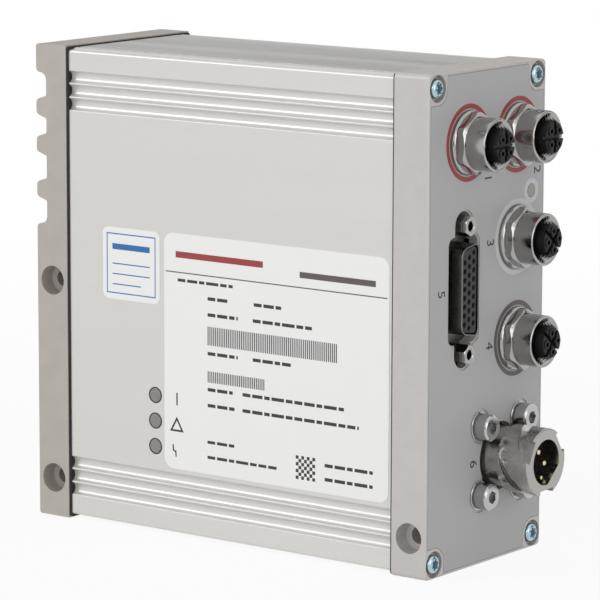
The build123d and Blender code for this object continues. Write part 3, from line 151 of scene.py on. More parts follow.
# Numbers on the connector face: across and up, in millimetres.
FIGURES = {
    "1": (0.0, 101.3),
    "2": (22.8, 101.2),
    "3": (1.3, 84.3),
    "4": (1.4, 57.3),
    "5": (-20.6, 73.6),
    "6": (-5.4, 27.2),
}
SOCKET_RINGS = {"1": "red_ink", "2": "red_ink", "3": "pale_ink", "4": "brown_ink"}

# Rows of the remote connector's pins, the longest to the right: across in rows, up in pins, and pins.
PIN_ROWS = ((1, 4.25, 9), (0, 3.75, 9), (-1, 3.25, 8))

# Lamps: place and side, in metres. Their power is a setting.
LAMPS = {
    "key": ((0.25, -1.4, 0.45), 0.9),
    "fill": ((1.3, -0.3, 0.4), 0.8),
    "glint": ((-0.84, -0.84, 0.83), 0.35),
    "top": ((-0.3, 0.4, 1.3), 0.8),
}
# Dark cards: place, width and height, in metres.
CARDS = {
    "left_card": ((-0.75, 1.0, 0.38), 0.75, 0.36),
    "right_card": ((0.75, 0.8, 0.3), 0.5, 0.5),
    "front_card": ((0.7, -0.8, 0.1), 0.5, 0.2),
    "low_card": ((0.9, 0.1, 0.03), 0.5, 0.06),
}
CARD_SHADE = (50, 50, 50)
FLOOR_PAINT = (0.97, 0.97, 0.97, 1)
FADE_START, FADE_END = 0.12, 0.6  # metres from the unit between which the floor fades away
FADE_LEAST = 0.9  # share of the background in the floor under the unit


def tone(red, green, blue):
    """Linear colour of a shade given as 0 to 255 on screen."""

    def linear(level):
        share = level / 255
        return share / 12.92 if share <= 0.04045 else ((share + 0.055) / 1.055) ** 2.4

    return (linear(red), linear(green), linear(blue))


def length(name, description, millimetres):
    """Property for a size of the real thing."""
    return FloatProperty(
        name=name, description=description, default=millimetres * MM, min=0, precision=5, unit="LENGTH"
    )


def colour(name, description, red, green, blue):
    """Property for a shade, given as 0 to 255 on screen."""
    return FloatVectorProperty(
        name=name, description=description, default=tone(red, green, blue), min=0, max=1, subtype="COLOR"
    )


def angle(name, description, degrees):
    """Property for a turn."""
    return FloatProperty(name=name, description=description, default=math.radians(degrees), unit="ROTATION")


def power(name, description, watts):
    """Property for a lamp's power."""
    return FloatProperty(name=name, description=description, default=watts, unit="POWER")


# ---- Settings --------------------------------------------------------------------------


class FinishColours(bpy.types.PropertyGroup):
    """Shades of the unit's finishes."""

    plate: colour("Plate", "Blasted aluminium of the finned plate", 185, 179, 173)
    tube: colour("Tube", "Anodised aluminium of the extruded tube", 218, 217, 214)
    cap: colour("Cap", "Blasted aluminium of the connector cap", 200, 196, 193)
    film: colour("Film", "Printed film on the connector face", 186, 185, 186)
    nickel: colour("Nickel", "Nickel plating of the connectors", 166, 165, 163)
    inlet: colour("Inlet metal", "Plated casting of the supply inlet", 172, 171, 168)
    steel: colour("Steel", "Bright stainless screws", 184, 184, 184)
    zinc: colour("Zinc", "Blue zinc plated screws", 178, 198, 206)
    black: colour("Insulator", "Black insulators of the connectors", 21, 20, 20)
    grey_lens: colour("Status lens", "Unlit status lights", 132, 130, 126)
    white_lens: colour("Panel lens", "Unlit light on the connector face", 160, 158, 150)
    label: colour("Label", "White label film", 246, 246, 245)
    ink: colour("Ink", "Dark print", 52, 48, 50)
    red_ink: colour("Red ink", "Red print", 158, 62, 60)
    pale_ink: colour("Pale ink", "Light grey print", 205, 207, 209)
    brown_ink: colour("Brown ink", "Grey brown print", 96, 86, 88)
    blue_ink: colour("Blue ink", "Blue print", 40, 112, 176)


class CaseSizes(bpy.types.PropertyGroup):
    """Rounding of the end pieces."""

    plate_edge: length("Plate edge", "Rounding of the finned plate's edges", 0.25)
    cap_edge: length("Cap edge", "Rounding of the connector cap's edges", 0.15)
    motor_edge: length("Motor connector edge", "Rounding of the motor connector's edges", 0.12)


class ScrewSizes(bpy.types.PropertyGroup):
    """Case screws and their star recess."""

    inset: length("Inset", "Screw's axis from the outermost head's edge", 2.85)
    head_radius: length("Head radius", "Radius of the case screw's head", 2.5)
    head_height: length("Head height", "Height of the case screw's head", 2.3)
    crown: length("Crown", "Height of the head's domed part", 1.0)
    shank_radius: length("Shank radius", "Radius of the case screw's shank", 1.7)
    lobe_circle: length("Lobe circle", "Circle on which the recess's lobes stand", 1.1)
    lobe_radius: length("Lobe radius", "Radius of one lobe of the recess", 0.44)
    recess_depth: length("Recess depth", "Depth of the star recess", 1.6)
    edge: length("Edge", "Rounding of the screw's edges", 0.07)


class SocketSizes(bpy.types.PropertyGroup):
    """Round data sockets with an inner thread."""

    flange_thickness: length("Flange", "Thickness of the round flange", 1.3)
    flange_bevel: length("Flange bevel", "Bevel of the flange's front edge", 0.5)
    hex_width: length("Hexagon", "Width across the flats", 14.6)
    hex_thickness: length("Hexagon height", "Height of the hexagon over the flange", 2.4)
    hex_corner: length("Hexagon corner", "Radius that the corners are turned down to", 8.05)
    hex_face: length("Hexagon face", "Radius of the flat round face on the hexagon", 7.1)
    barrel_radius: length("Barrel", "Radius of the barrel", 6.85)
    rim_bevel: length("Rim bevel", "Outer bevel of the rim", 0.2)
    rim_width: length("Rim", "Width of the rim's flat front", 0.45)
    bore_radius: length("Bore", "Radius of the bore between the threads", 5.5)
    mouth: length("Mouth", "Depth at which the thread starts behind the rim", 0.15)
    bore_depth: length("Bore depth", "Depth of the bore", 8.6)
    shank_radius: length("Shank", "Radius of the shank in the panel", 6.6)
    thread_pitch: length("Pitch", "Rise of the inner thread for each turn", 1.0)
    thread_depth: length("Thread depth", "Depth of the inner thread", 0.6)
    # Painted shade: a dark sleeve in the thread's roots stands in for the shadow there.
    root_shade_depth: length("Root fill", "Depth of the dark filling in the thread's roots", 0.2)
    insert_radius: length("Insert", "Radius of the insulator", 4.15)
    insert_proud: length("Insert proud", "How far the insulator stands over the rim", 2.4)
    collar_radius: length("Collar", "Radius of the insulator's collar", 5.2)
    collar_height: length("Collar height", "Height of the insulator's collar", 1.6)
    contact_circle: length("Contact circle", "Circle on which the contacts stand", 2.5)
    contact_hole: length("Contact hole", "Radius of a contact's hole", 0.6)
    contact_boss: length("Contact boss", "Radius of the raised ring round a hole", 1.18)
    cross_width: length("Cross width", "Width of the crossed grooves", 1.0)
    cross_depth: length("Cross depth", "Depth of the crossed grooves", 1.0)
    key_width: length("Key width", "Width of the coding groove", 1.1)
    key_depth: length("Key depth", "Depth of the coding groove", 0.8)
    shell_edge: length("Shell edge", "Rounding of the shell's edges", 0.05)
    hex_edge: length("Hexagon edge", "Rounding of the hexagon's edges", 0.07)
    insert_edge: length("Insert edge", "Rounding of the insulator's edges", 0.08)
    upper_turn: angle("Upper turn", "Turn of the contacts in the two upper sockets", 45)
    lower_turn: angle("Lower turn", "Turn of the contacts in the two lower sockets", 5)


class RemoteSizes(bpy.types.PropertyGroup):
    """D-shaped remote connector."""

    long_side: length("Length", "Longer side of the shroud", 24.7)
    width: length("Width", "Width of the shroud", 7.9)
    slant: angle("Slant", "Slant of the short sides", 10)
    corner: length("Corner", "Rounding of the shroud's corners", 2.2)
    wall: length("Wall", "Sheet thickness of the shroud", 0.5)
    reach: length("Reach", "Shroud above its flange", 6.0)
    flange_thickness: length("Flange", "Thickness of the flange", 0.8)
    lip: length("Lip", "Rounding of the shroud's front edge", 0.22)
    block_gap: length("Block gap", "Gap between shroud and insulator", 0.42)
    block_sink: length("Block sink", "Insulator's face behind the shroud's edge", 0.35)
    block_edge: length("Block edge", "Rounding of the insulator's edges", 0.1)
    hole_radius: length("Hole", "Radius of a pin's hole", 0.68)
    hole_mouth: length("Hole mouth", "Funnel round a pin's hole", 0.18)
    hole_depth: length("Hole depth", "Depth of a pin's hole", 3.0)
    pin_pitch: length("Pin pitch", "Distance of pins in a row", 2.29)
    row_pitch: length("Row pitch", "Distance of the rows", 1.98)
    jack_width: length("Jackscrew", "Width of a jackscrew across its flats", 4.75)
    jack_height: length("Jackscrew height", "Height of a jackscrew", 6.0)
    jack_corner: length("Jackscrew corner", "Radius of the jackscrew's round face", 2.42)
    jack_bore: length("Jackscrew bore", "Radius of the jackscrew's bore", 1.2)
    jack_pitch: length("Jackscrew pitch", "Distance of the two jackscrews", 33.3)
    jack_edge: length("Jackscrew edge", "Rounding of the jackscrew's edges", 0.1)


class InletSizes(bpy.types.PropertyGroup):
    """Supply inlet and its screws."""

    edge: length("Edge", "Rounding of the shell's edges", 0.16)
    head_radius: length("Head radius", "Radius of the socket head screws", 3.5)
    head_height: length("Head height", "Height of the socket head screws", 4.0)
    head_bevel: length("Head bevel", "Bevel of the screw's face", 0.5)
    key_width: length("Key width", "Width of the hexagon socket", 3.0)
    key_depth: length("Key depth", "Depth of the hexagon socket", 2.0)
    shank_radius: length("Shank", "Radius of the screw's shank", 2.0)
    washer_radius: length("Washer", "Radius of the washers", 3.9)
    washer_bore: length("Washer bore", "Radius of the washer's hole", 2.15)
    washer_bevel: length("Washer bevel", "Bevel of the washer's edge", 0.12)
    screw_pitch: length("Screw pitch", "Distance of the screws along the square", 18.3)
    screw_edge: length("Screw edge", "Rounding of the screw's edges", 0.06)


class LabelSizes(bpy.types.PropertyGroup):
    """Labels, printed fields and status lights on the label side."""

    thickness: length("Thickness", "Thickness of the label film", 0.12)
    print_thickness: length("Print", "Thickness of the printed fields", 0.02)
    corner: length("Corner", "Rounding of the large label", 3.0)
    small_corner: length("Small corner", "Rounding of the small label", 2.0)
    edge: length("Edge", "Rounding of the labels' edges", 0.03)
    lens_radius: length("Lens", "Radius of a status light", 1.95)
    lens_crown: length("Lens crown", "Height of a lens's dome", 0.25)
    rim: length("Rim", "Width of the dark rim round a status light", 0.28)
    triangle: length("Triangle", "Corner radius of the triangle pictogram", 2.7)
    line: length("Line", "Width of the pictograms' lines", 0.52)


class PrintSizes(bpy.types.PropertyGroup):
    """Rings and figures printed on the connector face."""

    thickness: length("Thickness", "Thickness of the printed layer", 0.03)
    ring_outer: length("Ring outer", "Outer radius of the rings round the sockets", 10.0)
    ring_inner: length("Ring inner", "Inner radius of the rings round the sockets", 8.75)
    dot_outer: length("Dot outer", "Outer radius of the ring round the light", 3.3)
    dot_inner: length("Dot inner", "Inner radius of the ring round the light", 1.85)
    figure_height: length("Figure height", "Height of the printed figures", 3.1)


class StageSettings(bpy.types.PropertyGroup):
    """Floor, lamps and camera."""

    floor_size: FloatProperty(name="Floor", description="Side of the floor", default=6.0, unit="LENGTH")
    key_power: power("Key light", "Power of the key light", 4.3)
    fill_power: power("Fill light", "Power of the fill light", 3.0)
    glint_power: power("Glint", "Power of the light on the grooves", 3.4)
    top_power: power("Top light", "Power of the top light", 0.9)
    world_strength: FloatProperty(name="World", description="Strength of the room's light", default=0.45)
    lens: FloatProperty(name="Lens", description="Focal length in millimetres", default=220.61)
    azimuth: angle("Azimuth", "Camera's turn round the unit", 36.9588)
    elevation: angle("Elevation", "Camera's height over the horizon", 9.6166)
    roll: angle("Roll", "Camera's roll", 0.1541)
    camera_place: FloatVectorProperty(
        name="Camera", description="Place of the camera, from the finned plate's end", unit="LENGTH",
        default=(0.653879, -0.776319, 0.227895),
    )


GROUPS = {
    "unit_colours": FinishColours,
    "unit_case": CaseSizes,
    "unit_screws": ScrewSizes,
    "unit_sockets": SocketSizes,
    "unit_remote": RemoteSizes,
    "unit_inlet": InletSizes,
    "unit_labels": LabelSizes,
    "unit_print": PrintSizes,
    "unit_stage": StageSettings,
}


# ---- Bench tools -----------------------------------------------------------------------


def deselect():
    """Leave edit mode and clear the selection."""
    if bpy.context.object and bpy.context.object.mode != "OBJECT":
        bpy.ops.object.mode_set(mode="OBJECT")
    bpy.ops.object.select_all(action="DESELECT")


def take(piece):
    """Make a piece the only selected and the active one."""
    deselect()
    piece.select_set(True)
    bpy.context.view_layer.objects.active = piece


def edit_all():
    """Open the active piece in edit mode with everything selected."""
    bpy.ops.object.mode_set(mode="EDIT")
    bpy.ops.mesh.select_mode(type="VERT")
    bpy.ops.mesh.select_all(action="SELECT")


def leave_edit():
    """Point all faces outwards and leave edit mode."""
    bpy.ops.mesh.select_all(action="SELECT")
    bpy.ops.mesh.normals_make_consistent(inside=False)
    bpy.ops.object.mode_set(mode="OBJECT")


def pick_vertices(piece, test):
    """Open a piece in edit mode with the vertices selected whose place passes the test."""
    take(piece)
    for part in (*piece.data.edges, *piece.data.polygons):
        part.select = False
    for vertex in piece.data.vertices:
        vertex.select = test(vertex.co)
    bpy.ops.object.mode_set(mode="EDIT")
    bpy.ops.mesh.select_mode(type="VERT")


def pull(rise, factor=1.0, height=0.0):
    """Extrude what is selected upwards, and draw it in or out about Z."""
    bpy.ops.mesh.extrude_region_move(TRANSFORM_OT_translate={"value": (0, 0, rise)})
    if factor != 1:
        bpy.ops.transform.resize(value=(factor, factor, 1), center_override=(0, 0, height))


def turned(name, profile, sides=ROUND_SIDES, closed=False):
    """A piece turned about Z along steps of (radius, height); a closed one returns to its first step."""
    radius, height = profile[0]
    deselect()
    fill = "NOTHING" if closed else "NGON"
    bpy.ops.mesh.primitive_circle_add(vertices=sides, radius=radius, fill_type=fill)
    piece = bpy.context.object
    piece.name = name
    edit_all()
    bpy.ops.transform.translate(value=(0, 0, height))
    for next_radius, next_height in profile[1:] + (profile[:1] if closed else []):
        pull(next_height - height, next_radius / radius, next_height)
        radius, height = next_radius, next_height
    bpy.ops.mesh.select_all(action="SELECT")
    bpy.ops.mesh.remove_doubles(threshold=NEAR)
    leave_edit()
    return piece


def rod(name, radius, low, high, sides=ROUND_SIDES):
    """Straight round rod between two heights."""
    return turned(name, [(radius, low), (radius, high)], sides)


def ring(name, inner, outer, low, high, sides=ROUND_SIDES):
    """Ring between two radii and two heights."""
    return turned(name, [(inner, low), (outer, low), (outer, high), (inner, high)], sides, closed=True)


def over_corners(width):
    """Radius over the corners of a hexagon of a given width across its flats."""
    return width / 2 / math.cos(math.pi / 6)


def hexagon(name, width, low, high):
    """Upright hexagonal bar of a given width across its flats."""
    return rod(name, over_corners(width), low, high, sides=6)


def turn_down(piece, corner, face, top, slant, sides=ROUND_SIDES):
    """Turn the corners of a bar down round its flat face, at a slant in degrees."""
    slope = (corner - face) * math.tan(math.radians(slant))
    cut(piece, turned("cone", [(corner, -SPARE), (corner, top - slope), (face, top)], sides), "INTERSECT")


def rectangle(name, width, depth):
    """Open a new rectangle about the origin in edit mode."""
    deselect()
    bpy.ops.mesh.primitive_plane_add(size=1)
    piece = bpy.context.object
    piece.name = name
    edit_all()
    bpy.ops.transform.resize(value=(width, depth, 1), center_override=(0, 0, 0))
    return piece


def sheet(name, width, depth, thickness, corner=0.0):
    """Flat plate with rounded corners, its base on z = 0."""
    piece = rectangle(name, width, depth)
    if corner:
        bpy.ops.mesh.bevel(offset=corner, segments=SHEET_STEPS, affect="VERTICES")
        bpy.ops.mesh.select_all(action="SELECT")
    pull(thickness)
    leave_edit()
    return piece


def dee(name, sizes, grow, rise, base=0.0):
    """Upright block with the D outline of the remote connector, its wide side to the right."""
    width = sizes.width + 2 * grow
    long_side = sizes.long_side + 2 * grow
    short_side = long_side - 2 * width * math.tan(sizes.slant)
    piece = rectangle(name, width, long_side)
    bpy.ops.transform.translate(value=(0, 0, base))
    pick_vertices(piece, lambda spot: spot.x < 0)
    bpy.ops.transform.resize(value=(1, short_side / long_side, 1), center_override=(0, 0, 0))
    bpy.ops.mesh.select_all(action="SELECT")
    bpy.ops.mesh.bevel(offset=sizes.corner + grow, segments=DEE_STEPS, affect="VERTICES")
    bpy.ops.mesh.select_all(action="SELECT")
    pull(rise)
    leave_edit()
    return piece


def finish_with(piece, kind, **settings):
    """Put a modifier with its settings on a piece, and apply it."""
    take(piece)
    bpy.ops.object.modifier_add(type=kind)
    modifier = piece.modifiers[-1]
    for name, value in settings.items():
        setattr(modifier, name, value)
    bpy.ops.object.modifier_apply(modifier=modifier.name)


def cut(piece, tool, operation="DIFFERENCE"):
    """Cut a piece with a tool, add the tool to it, or keep what they share; the tool is used up."""
    finish_with(piece, "BOOLEAN", operation=operation, solver="EXACT", object=tool)
    bpy.data.objects.remove(tool)


def shade(piece):
    """Smooth the round faces and keep the flat ones flat."""
    take(piece)
    bpy.ops.object.shade_smooth_by_angle(angle=math.radians(SMOOTH_ANGLE))
    finish_with(piece, "WEIGHTED_NORMAL", keep_sharp=True)


def soften(piece, width, limit, segments=2):
    """Round the edges of a piece that are sharper than the limit in degrees, and shade it."""
    bend = {"limit_method": "ANGLE", "angle_limit": math.radians(limit)}
    finish_with(piece, "BEVEL", width=width, segments=segments, **bend)
    shade(piece)
    return piece


def settle(piece, matrix):
    """Move a bench piece, and fix that in its mesh."""
    take(piece)
    piece.matrix_world = matrix
    bpy.ops.object.transform_apply(location=True, rotation=True, scale=True)
    return piece


def shift(piece, x=0.0, y=0.0, z=0.0, turn=0.0):
    """Move and turn a piece on the bench."""
    return settle(piece, Matrix.Translation((x, y, z)) @ Matrix.Rotation(turn, 4, "Z"))


def place(piece, side, spot, turn=0.0):
    """Put a bench piece at its spot on a side of the unit."""
    axes = Matrix(SIDES[side]).transposed().to_4x4()
    return settle(piece, Matrix.Translation(spot) @ axes @ Matrix.Rotation(turn, 4, "Z"))


def copy_of(piece, name):
    """A copy with its own mesh."""
    take(piece)
    bpy.ops.object.duplicate(linked=False)
    twin = bpy.context.object
    twin.name = name
    return twin


def joined(name, pieces):
    """Several bench pieces as one."""
    deselect()
    for piece in pieces:
        piece.select_set(True)
    bpy.context.view_layer.objects.active = pieces[0]
    if len(pieces) > 1:
        bpy.ops.object.join()
    pieces[0].name = name
    return pieces[0]


def dress(piece, finish, slot, *nodes):
    """Give a finished piece its material and let it ride on the unit, in place of the CAD nodes named."""
    piece.data.materials.clear()
    piece.data.materials.append(bpy.data.materials[finish])
    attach(piece, "root")
    if nodes:
        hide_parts(*nodes)


def fit(model, name, side, spot, finish, slot, *nodes, turn=0.0):
    """Put a dressed copy of a bench piece in its place on the unit."""
    dress(place(copy_of(model, name), side, spot, turn), finish, slot, *nodes)


def clear(*models):
    """Take bench pieces away that have been copied."""
    for model in models:
        bpy.data.objects.remove(model)


def centre(cad_node):
    """Middle of a CAD node."""
    low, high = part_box(cad_node)
    return (low + high) / 2


def on_panel(cad_node):
    """Spot on the connector face over the middle of a CAD node."""
    spot = centre(cad_node)
    spot.x = PANEL_X
    return spot


# ---- Materials -------------------------------------------------------------------------


def node(tree, kind, inputs=None, **settings):
    """Add a node, with its settings, and its inputs set to values or linked to other sockets."""
    made = tree.nodes.new(kind)
    for name, value in settings.items():
        setattr(made, name, value)
    for key, value in (inputs or {}).items():
        if isinstance(value, bpy.types.NodeSocket):
            tree.links.new(value, made.inputs[key])
        else:
            made.inputs[key].default_value = value
    return made


def blank(name):
    """A material emptied down to a shader and an output, with coordinates of the piece itself."""
    material = bpy.data.materials.get(name) or bpy.data.materials.new(name)
    material.use_nodes = True
    tree = material.node_tree
    tree.nodes.clear()
    shader = node(tree, "ShaderNodeBsdfPrincipled")
    node(tree, "ShaderNodeOutputMaterial", {"Surface": shader.outputs["BSDF"]})
    coordinates = node(tree, "ShaderNodeTexCoord").outputs["Object"]
    return tree, shader, coordinates


def speckle(tree, coordinates, size, stretch=(1, 1, 1), detail=3.0):
    """Noise with grains of a given size, stretched along the axes where the factors are small."""
    mapping = node(tree, "ShaderNodeMapping", {"Vector": coordinates, "Scale": stretch})
    noise = {"Vector": mapping.outputs["Vector"], "Scale": 1 / size, "Detail": detail}
    return node(tree, "ShaderNodeTexNoise", noise).outputs["Fac"]


def between(tree, amount, low, high):
    """Turn noise into values between two limits."""
    limits = {"From Min": NOISE_LOW, "From Max": NOISE_HIGH, "To Min": low, "To Max": high}
    return node(tree, "ShaderNodeMapRange", {"Value": amount, **limits}).outputs["Result"]


def colour_link(tree, amount, base, spread):
    """Colour socket of a wandering shade."""
    dark = [channel * (1 - spread) for channel in base] + [1]
    light = [min(1, channel * (1 + spread)) for channel in base] + [1]
    mix = tree.nodes.new("ShaderNodeMix")
    mix.data_type = "RGBA"
    colours = [socket for socket in mix.inputs if socket.type == "RGBA"]
    colours[0].default_value = dark
    colours[1].default_value = light
    tree.links.new(amount, mix.inputs[0])
    return [socket for socket in mix.outputs if socket.type == "RGBA"][0]


def surface(name, base, metallic, roughness, grain, depth, spread=0.04, blotch=9 * MM, stretch=(1, 1, 1),
            rough_spread=0.06, **constants):
    """A finish with fine grain in its relief, and slow changes of shade and gloss.

    Grain and blotch are sizes of spots, depth is the height of the relief, and the spreads are how far
    shade and roughness wander.
    """
    tree, shader, coordinates = blank(name)
    fine = speckle(tree, coordinates, grain, stretch)
    slow = speckle(tree, coordinates, blotch, stretch, 4.0)
    mixed = node(tree, "ShaderNodeMath", {0: fine, 1: slow}, operation="ADD")
    half = node(tree, "ShaderNodeMath", {0: mixed.outputs[0], 1: 0.5}, operation="MULTIPLY")
    amount = between(tree, half.outputs[0], 0.0, 1.0)
    tree.links.new(colour_link(tree, amount, base, spread), shader.inputs["Base Color"])
    gloss = between(tree, slow, roughness - rough_spread, roughness + rough_spread)
    tree.links.new(gloss, shader.inputs["Roughness"])
    bump = node(tree, "ShaderNodeBump", {"Height": fine, "Strength": 1.0, "Distance": depth})
    tree.links.new(bump.outputs["Normal"], shader.inputs["Normal"])
    shader.inputs["Metallic"].default_value = metallic
    for socket, value in constants.items():
        shader.inputs[socket.replace("_", " ")].default_value = value


def make_finishes(colours):
    """All materials: name, shade, metallic, roughness, grain, depth, spread and blotch."""
    satin = {"Specular_IOR_Level": 0.25}
    drawn = {"stretch": (0.06, 1, 1), **satin}
    bright = {"rough_spread": 0.05}
    ink = {"metallic": 0, "roughness": 0.45, "grain": 0.2 * MM, "depth": 0.002 * MM}
    surface("blasted_aluminium", colours.plate, 0.3, 0.5, 0.25 * MM, 0.04 * MM, 0.08, 5 * MM, **satin)
    surface("anodised_aluminium", colours.tube, 0.35, 0.36, 0.25 * MM, 0.006 * MM, 0.02, 8 * MM, **drawn)
    surface("cast_aluminium", colours.cap, 0.3, 0.48, 0.2 * MM, 0.03 * MM, 0.05, 4 * MM, **satin)
    surface("printed_film", colours.film, 0.1, 0.5, 0.16 * MM, 0.006 * MM, 0.02, 10 * MM, **satin)
    surface("black_gasket", tone(22, 22, 23), 0, 0.7, 0.2 * MM, 0.02 * MM, 0.2)
    surface("nickel_plating", colours.nickel, 1, 0.14, 0.5 * MM, 0.002 * MM, 0.03, 3 * MM, **bright)
    surface("inlet_metal", colours.inlet, 1, 0.25, 0.35 * MM, 0.03 * MM, 0.03, 2 * MM, **bright)
    surface("stainless_steel", colours.steel, 1, 0.2, 0.3 * MM, 0.003 * MM, 0.03, 2 * MM)
    surface("zinc_steel", colours.zinc, 1, 0.24, 0.3 * MM, 0.004 * MM, 0.05, 1 * MM)
    surface("black_insulator", colours.black, 0, 0.42, 0.15 * MM, 0.006 * MM, 0.15, 2 * MM, **satin)
    surface("gold_contact", tone(222, 208, 168), 1, 0.2, 0.3 * MM, 0.002 * MM, 0.03)
    surface("grey_lens", colours.grey_lens, 0, 0.2, 0.3 * MM, 0.002 * MM, 0.08, 2 * MM, Coat_Weight=0.6)
    surface("white_lens", colours.white_lens, 0, 0.35, 0.3 * MM, 0.003 * MM, 0.05, 2 * MM)
    surface("circuit_board", tone(30, 84, 52), 0, 0.4, 0.4 * MM, 0.01 * MM, 0.1)
    surface("chip_plastic", tone(34, 34, 36), 0, 0.5, 0.1 * MM, 0.006 * MM, 0.1)
    surface("capacitor_sleeve", tone(30, 32, 44), 0, 0.3, 0.4 * MM, 0.004 * MM, 0.08)
    surface("ferrite", tone(70, 78, 70), 0, 0.6, 0.2 * MM, 0.01 * MM, 0.08)
    surface("copper_wire", tone(176, 96, 58), 1, 0.3, 0.3 * MM, 0.004 * MM, 0.06)
    surface("thermal_rubber", tone(120, 132, 150), 0, 0.6, 0.2 * MM, 0.008 * MM, 0.05)
    surface("label_film", colours.label, 0, 0.38, 0.3 * MM, 0.002 * MM, 0.01, 12 * MM, Coat_Weight=0.25)
    surface("dark_ink", colours.ink, **ink)
    for name in ("red_ink", "pale_ink", "brown_ink", "blue_ink"):
        surface(name, getattr(colours, name), **ink)
    # rim_black also darkens the sleeve in the socket threads' roots, as painted shade.
    surface("rim_black", tone(34, 33, 32), 0, 0.5, 0.1 * MM, 0.004 * MM, 0.1)
    surface("grey_insulator", tone(62, 61, 63), 0, 0.45, 0.15 * MM, 0.006 * MM, 0.12, 2 * MM, **satin)
    surface("shroud_nickel", tone(116, 118, 114), 1, 0.28, 0.5 * MM, 0.003 * MM, 0.05, 4 * MM)


class UNIT_OT_finishes(bpy.types.Operator):
    """Make the materials and give each CAD node its own"""

    bl_idname = "unit.finishes"
    bl_label = "Finishes"

    def execute(self, context):
        make_finishes(context.scene.unit_colours)
        for cad_node in frame["nodes"].values():
            for socket in cad_node.material_slots:
                name = socket.material.name.split(".")[0]
                if name not in bpy.data.materials:
                    raise RuntimeError(f"no finish named {name}")
                socket.material = bpy.data.materials[name]
        return {"FINISHED"}


# ---- End pieces ------------------------------------------------------------------------


def rounded_twin(source, name, width, slot, limit=40):
    """A copy of a CAD node with its edges rounded, in its place."""
    twin = copy_of(frame["nodes"][source], name)
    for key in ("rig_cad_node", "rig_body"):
        if key in twin:
            del twin[key]
    twin.parent = None
    take(twin)
    edit_all()
    bpy.ops.mesh.remove_doubles(threshold=NEAR)
    bpy.ops.mesh.dissolve_limited(angle_limit=math.radians(FLAT_ANGLE))
    leave_edit()
    soften(twin, width, limit)
    dress(twin, slot, slot, source)


class UNIT_OT_end_pieces(bpy.types.Operator):
    """Round the edges of the finned plate, the connector cap and the motor connector"""

    bl_idname = "unit.end_pieces"
    bl_label = "End pieces"

    def execute(self, context):
        sizes = context.scene.unit_case
        rounded_twin("heat_sink_plate", "finned_plate", sizes.plate_edge, "blasted_aluminium")
        rounded_twin("connector_cap", "cap_casting", sizes.cap_edge, "cast_aluminium")
        rounded_twin("motor_shell", "motor_housing", sizes.motor_edge, "nickel_plating")
        return {"FINISHED"}


# ---- Case screws -----------------------------------------------------------------------


def star_cutter(sizes):
    """Six lobes round a core, as deep as the recess."""
    base = sizes.head_height - sizes.recess_depth
    top = base + (sizes.recess_depth + SPARE)
    cutter = rod("star_core", sizes.lobe_circle, base, top, sides=36)
    for i in range(6):
        lobe = rod("lobe", sizes.lobe_radius, base, top, sides=20)
        turn = math.radians(60 * i)
        shift(lobe, sizes.lobe_circle * math.cos(turn), sizes.lobe_circle * math.sin(turn))
        cut(cutter, lobe, "UNION")
    return cutter


def case_screw(sizes, shank):
    """Domed screw with a star recess, its head on z = 0."""
    shoulder = sizes.head_height - sizes.crown
    flatness = 1.15  # how far the dome draws in, in crown heights
    profile = [(sizes.shank_radius, -shank), (sizes.shank_radius, 0), (sizes.head_radius, 0)]
    for degrees in range(0, 91, 18):
        rise = math.radians(degrees)
        drawn_in = sizes.crown * (1 - math.cos(rise)) * flatness
        profile.append((sizes.head_radius - drawn_in, shoulder + sizes.crown * math.sin(rise)))
    screw = turned("case_screw", profile, sides=48)
    cut(screw, star_cutter(sizes))
    return soften(screw, sizes.edge, limit=50)


class UNIT_OT_case_screws(bpy.types.Operator):
    """Model the eight case screws"""

    bl_idname = "unit.case_screws"
    bl_label = "Case screws"

    def execute(self, context):
        sizes = context.scene.unit_screws
        for cad_node, side, end in (("cap_screws", "connectors", 1), ("plate_screws", "fins", -1)):
            low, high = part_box(cad_node)
            face = high.x if end > 0 else low.x
            shank = high.x - low.x - sizes.head_height
            seat = face - end * sizes.head_height
            model = case_screw(sizes, shank)
            for i in range(4):
                y = (low.y + sizes.inset, high.y - sizes.inset)[i % 2]
                z = (low.z + sizes.inset, high.z - sizes.inset)[i // 2]
                name = f"{cad_node[:-1]}_{i + 1}"
                turn = math.radians(17 + 23 * i)  # each screw stops at its own turn
                fit(model, name, side, (seat, y, z), "zinc_steel", "zinc_steel", cad_node, turn=turn)
            clear(model)
        return {"FINISHED"}


# ---- Round data sockets ----------------------------------------------------------------


def socket_shell(sizes, reach, tail):
    """Nickel shell with flange, barrel and inner thread; the panel is z = 0."""
    flange = sizes.flange_thickness
    floor = reach - sizes.bore_depth
    flange_low, flange_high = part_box("m12_shell_1")
    flange_radius = (flange_high.y - flange_low.y) / 2
    gap = 0.15 * MM
    inner = sizes.insert_radius + gap
    bevel = sizes.flange_bevel
    front = sizes.barrel_radius - sizes.rim_bevel
    root = sizes.bore_radius + sizes.thread_depth
    thread = []
    height = reach - sizes.mouth
    while height > floor + 2 * sizes.thread_pitch:
        thread += [(root, height), (sizes.bore_radius, height - sizes.thread_pitch / 2)]
        height -= sizes.thread_pitch
    profile = [
        (inner, tail),
        (sizes.shank_radius, tail),
        (sizes.shank_radius, 0),
        (flange_radius, 0),
        (flange_radius, flange - bevel),
        (flange_radius - bevel, flange),
        (sizes.barrel_radius, flange),
        (sizes.barrel_radius, reach - sizes.rim_bevel),
        (front, reach),
        (front - sizes.rim_width, reach),
        *thread,
        (sizes.bore_radius, floor),
        (inner, floor),
    ]
    return soften(turned("socket_shell", profile, closed=True), sizes.shell_edge, limit=28)


def socket_roots(sizes, reach):
    """Dark sleeve in the roots of the inner thread: painted shade for the shadow in the thread's roots."""
    low = reach - sizes.bore_depth
    high = reach - sizes.mouth - sizes.thread_pitch / 4
    outer = sizes.bore_radius + sizes.thread_depth
    inner = outer - sizes.root_shade_depth
    return ring("socket_roots", inner, outer, low, high)


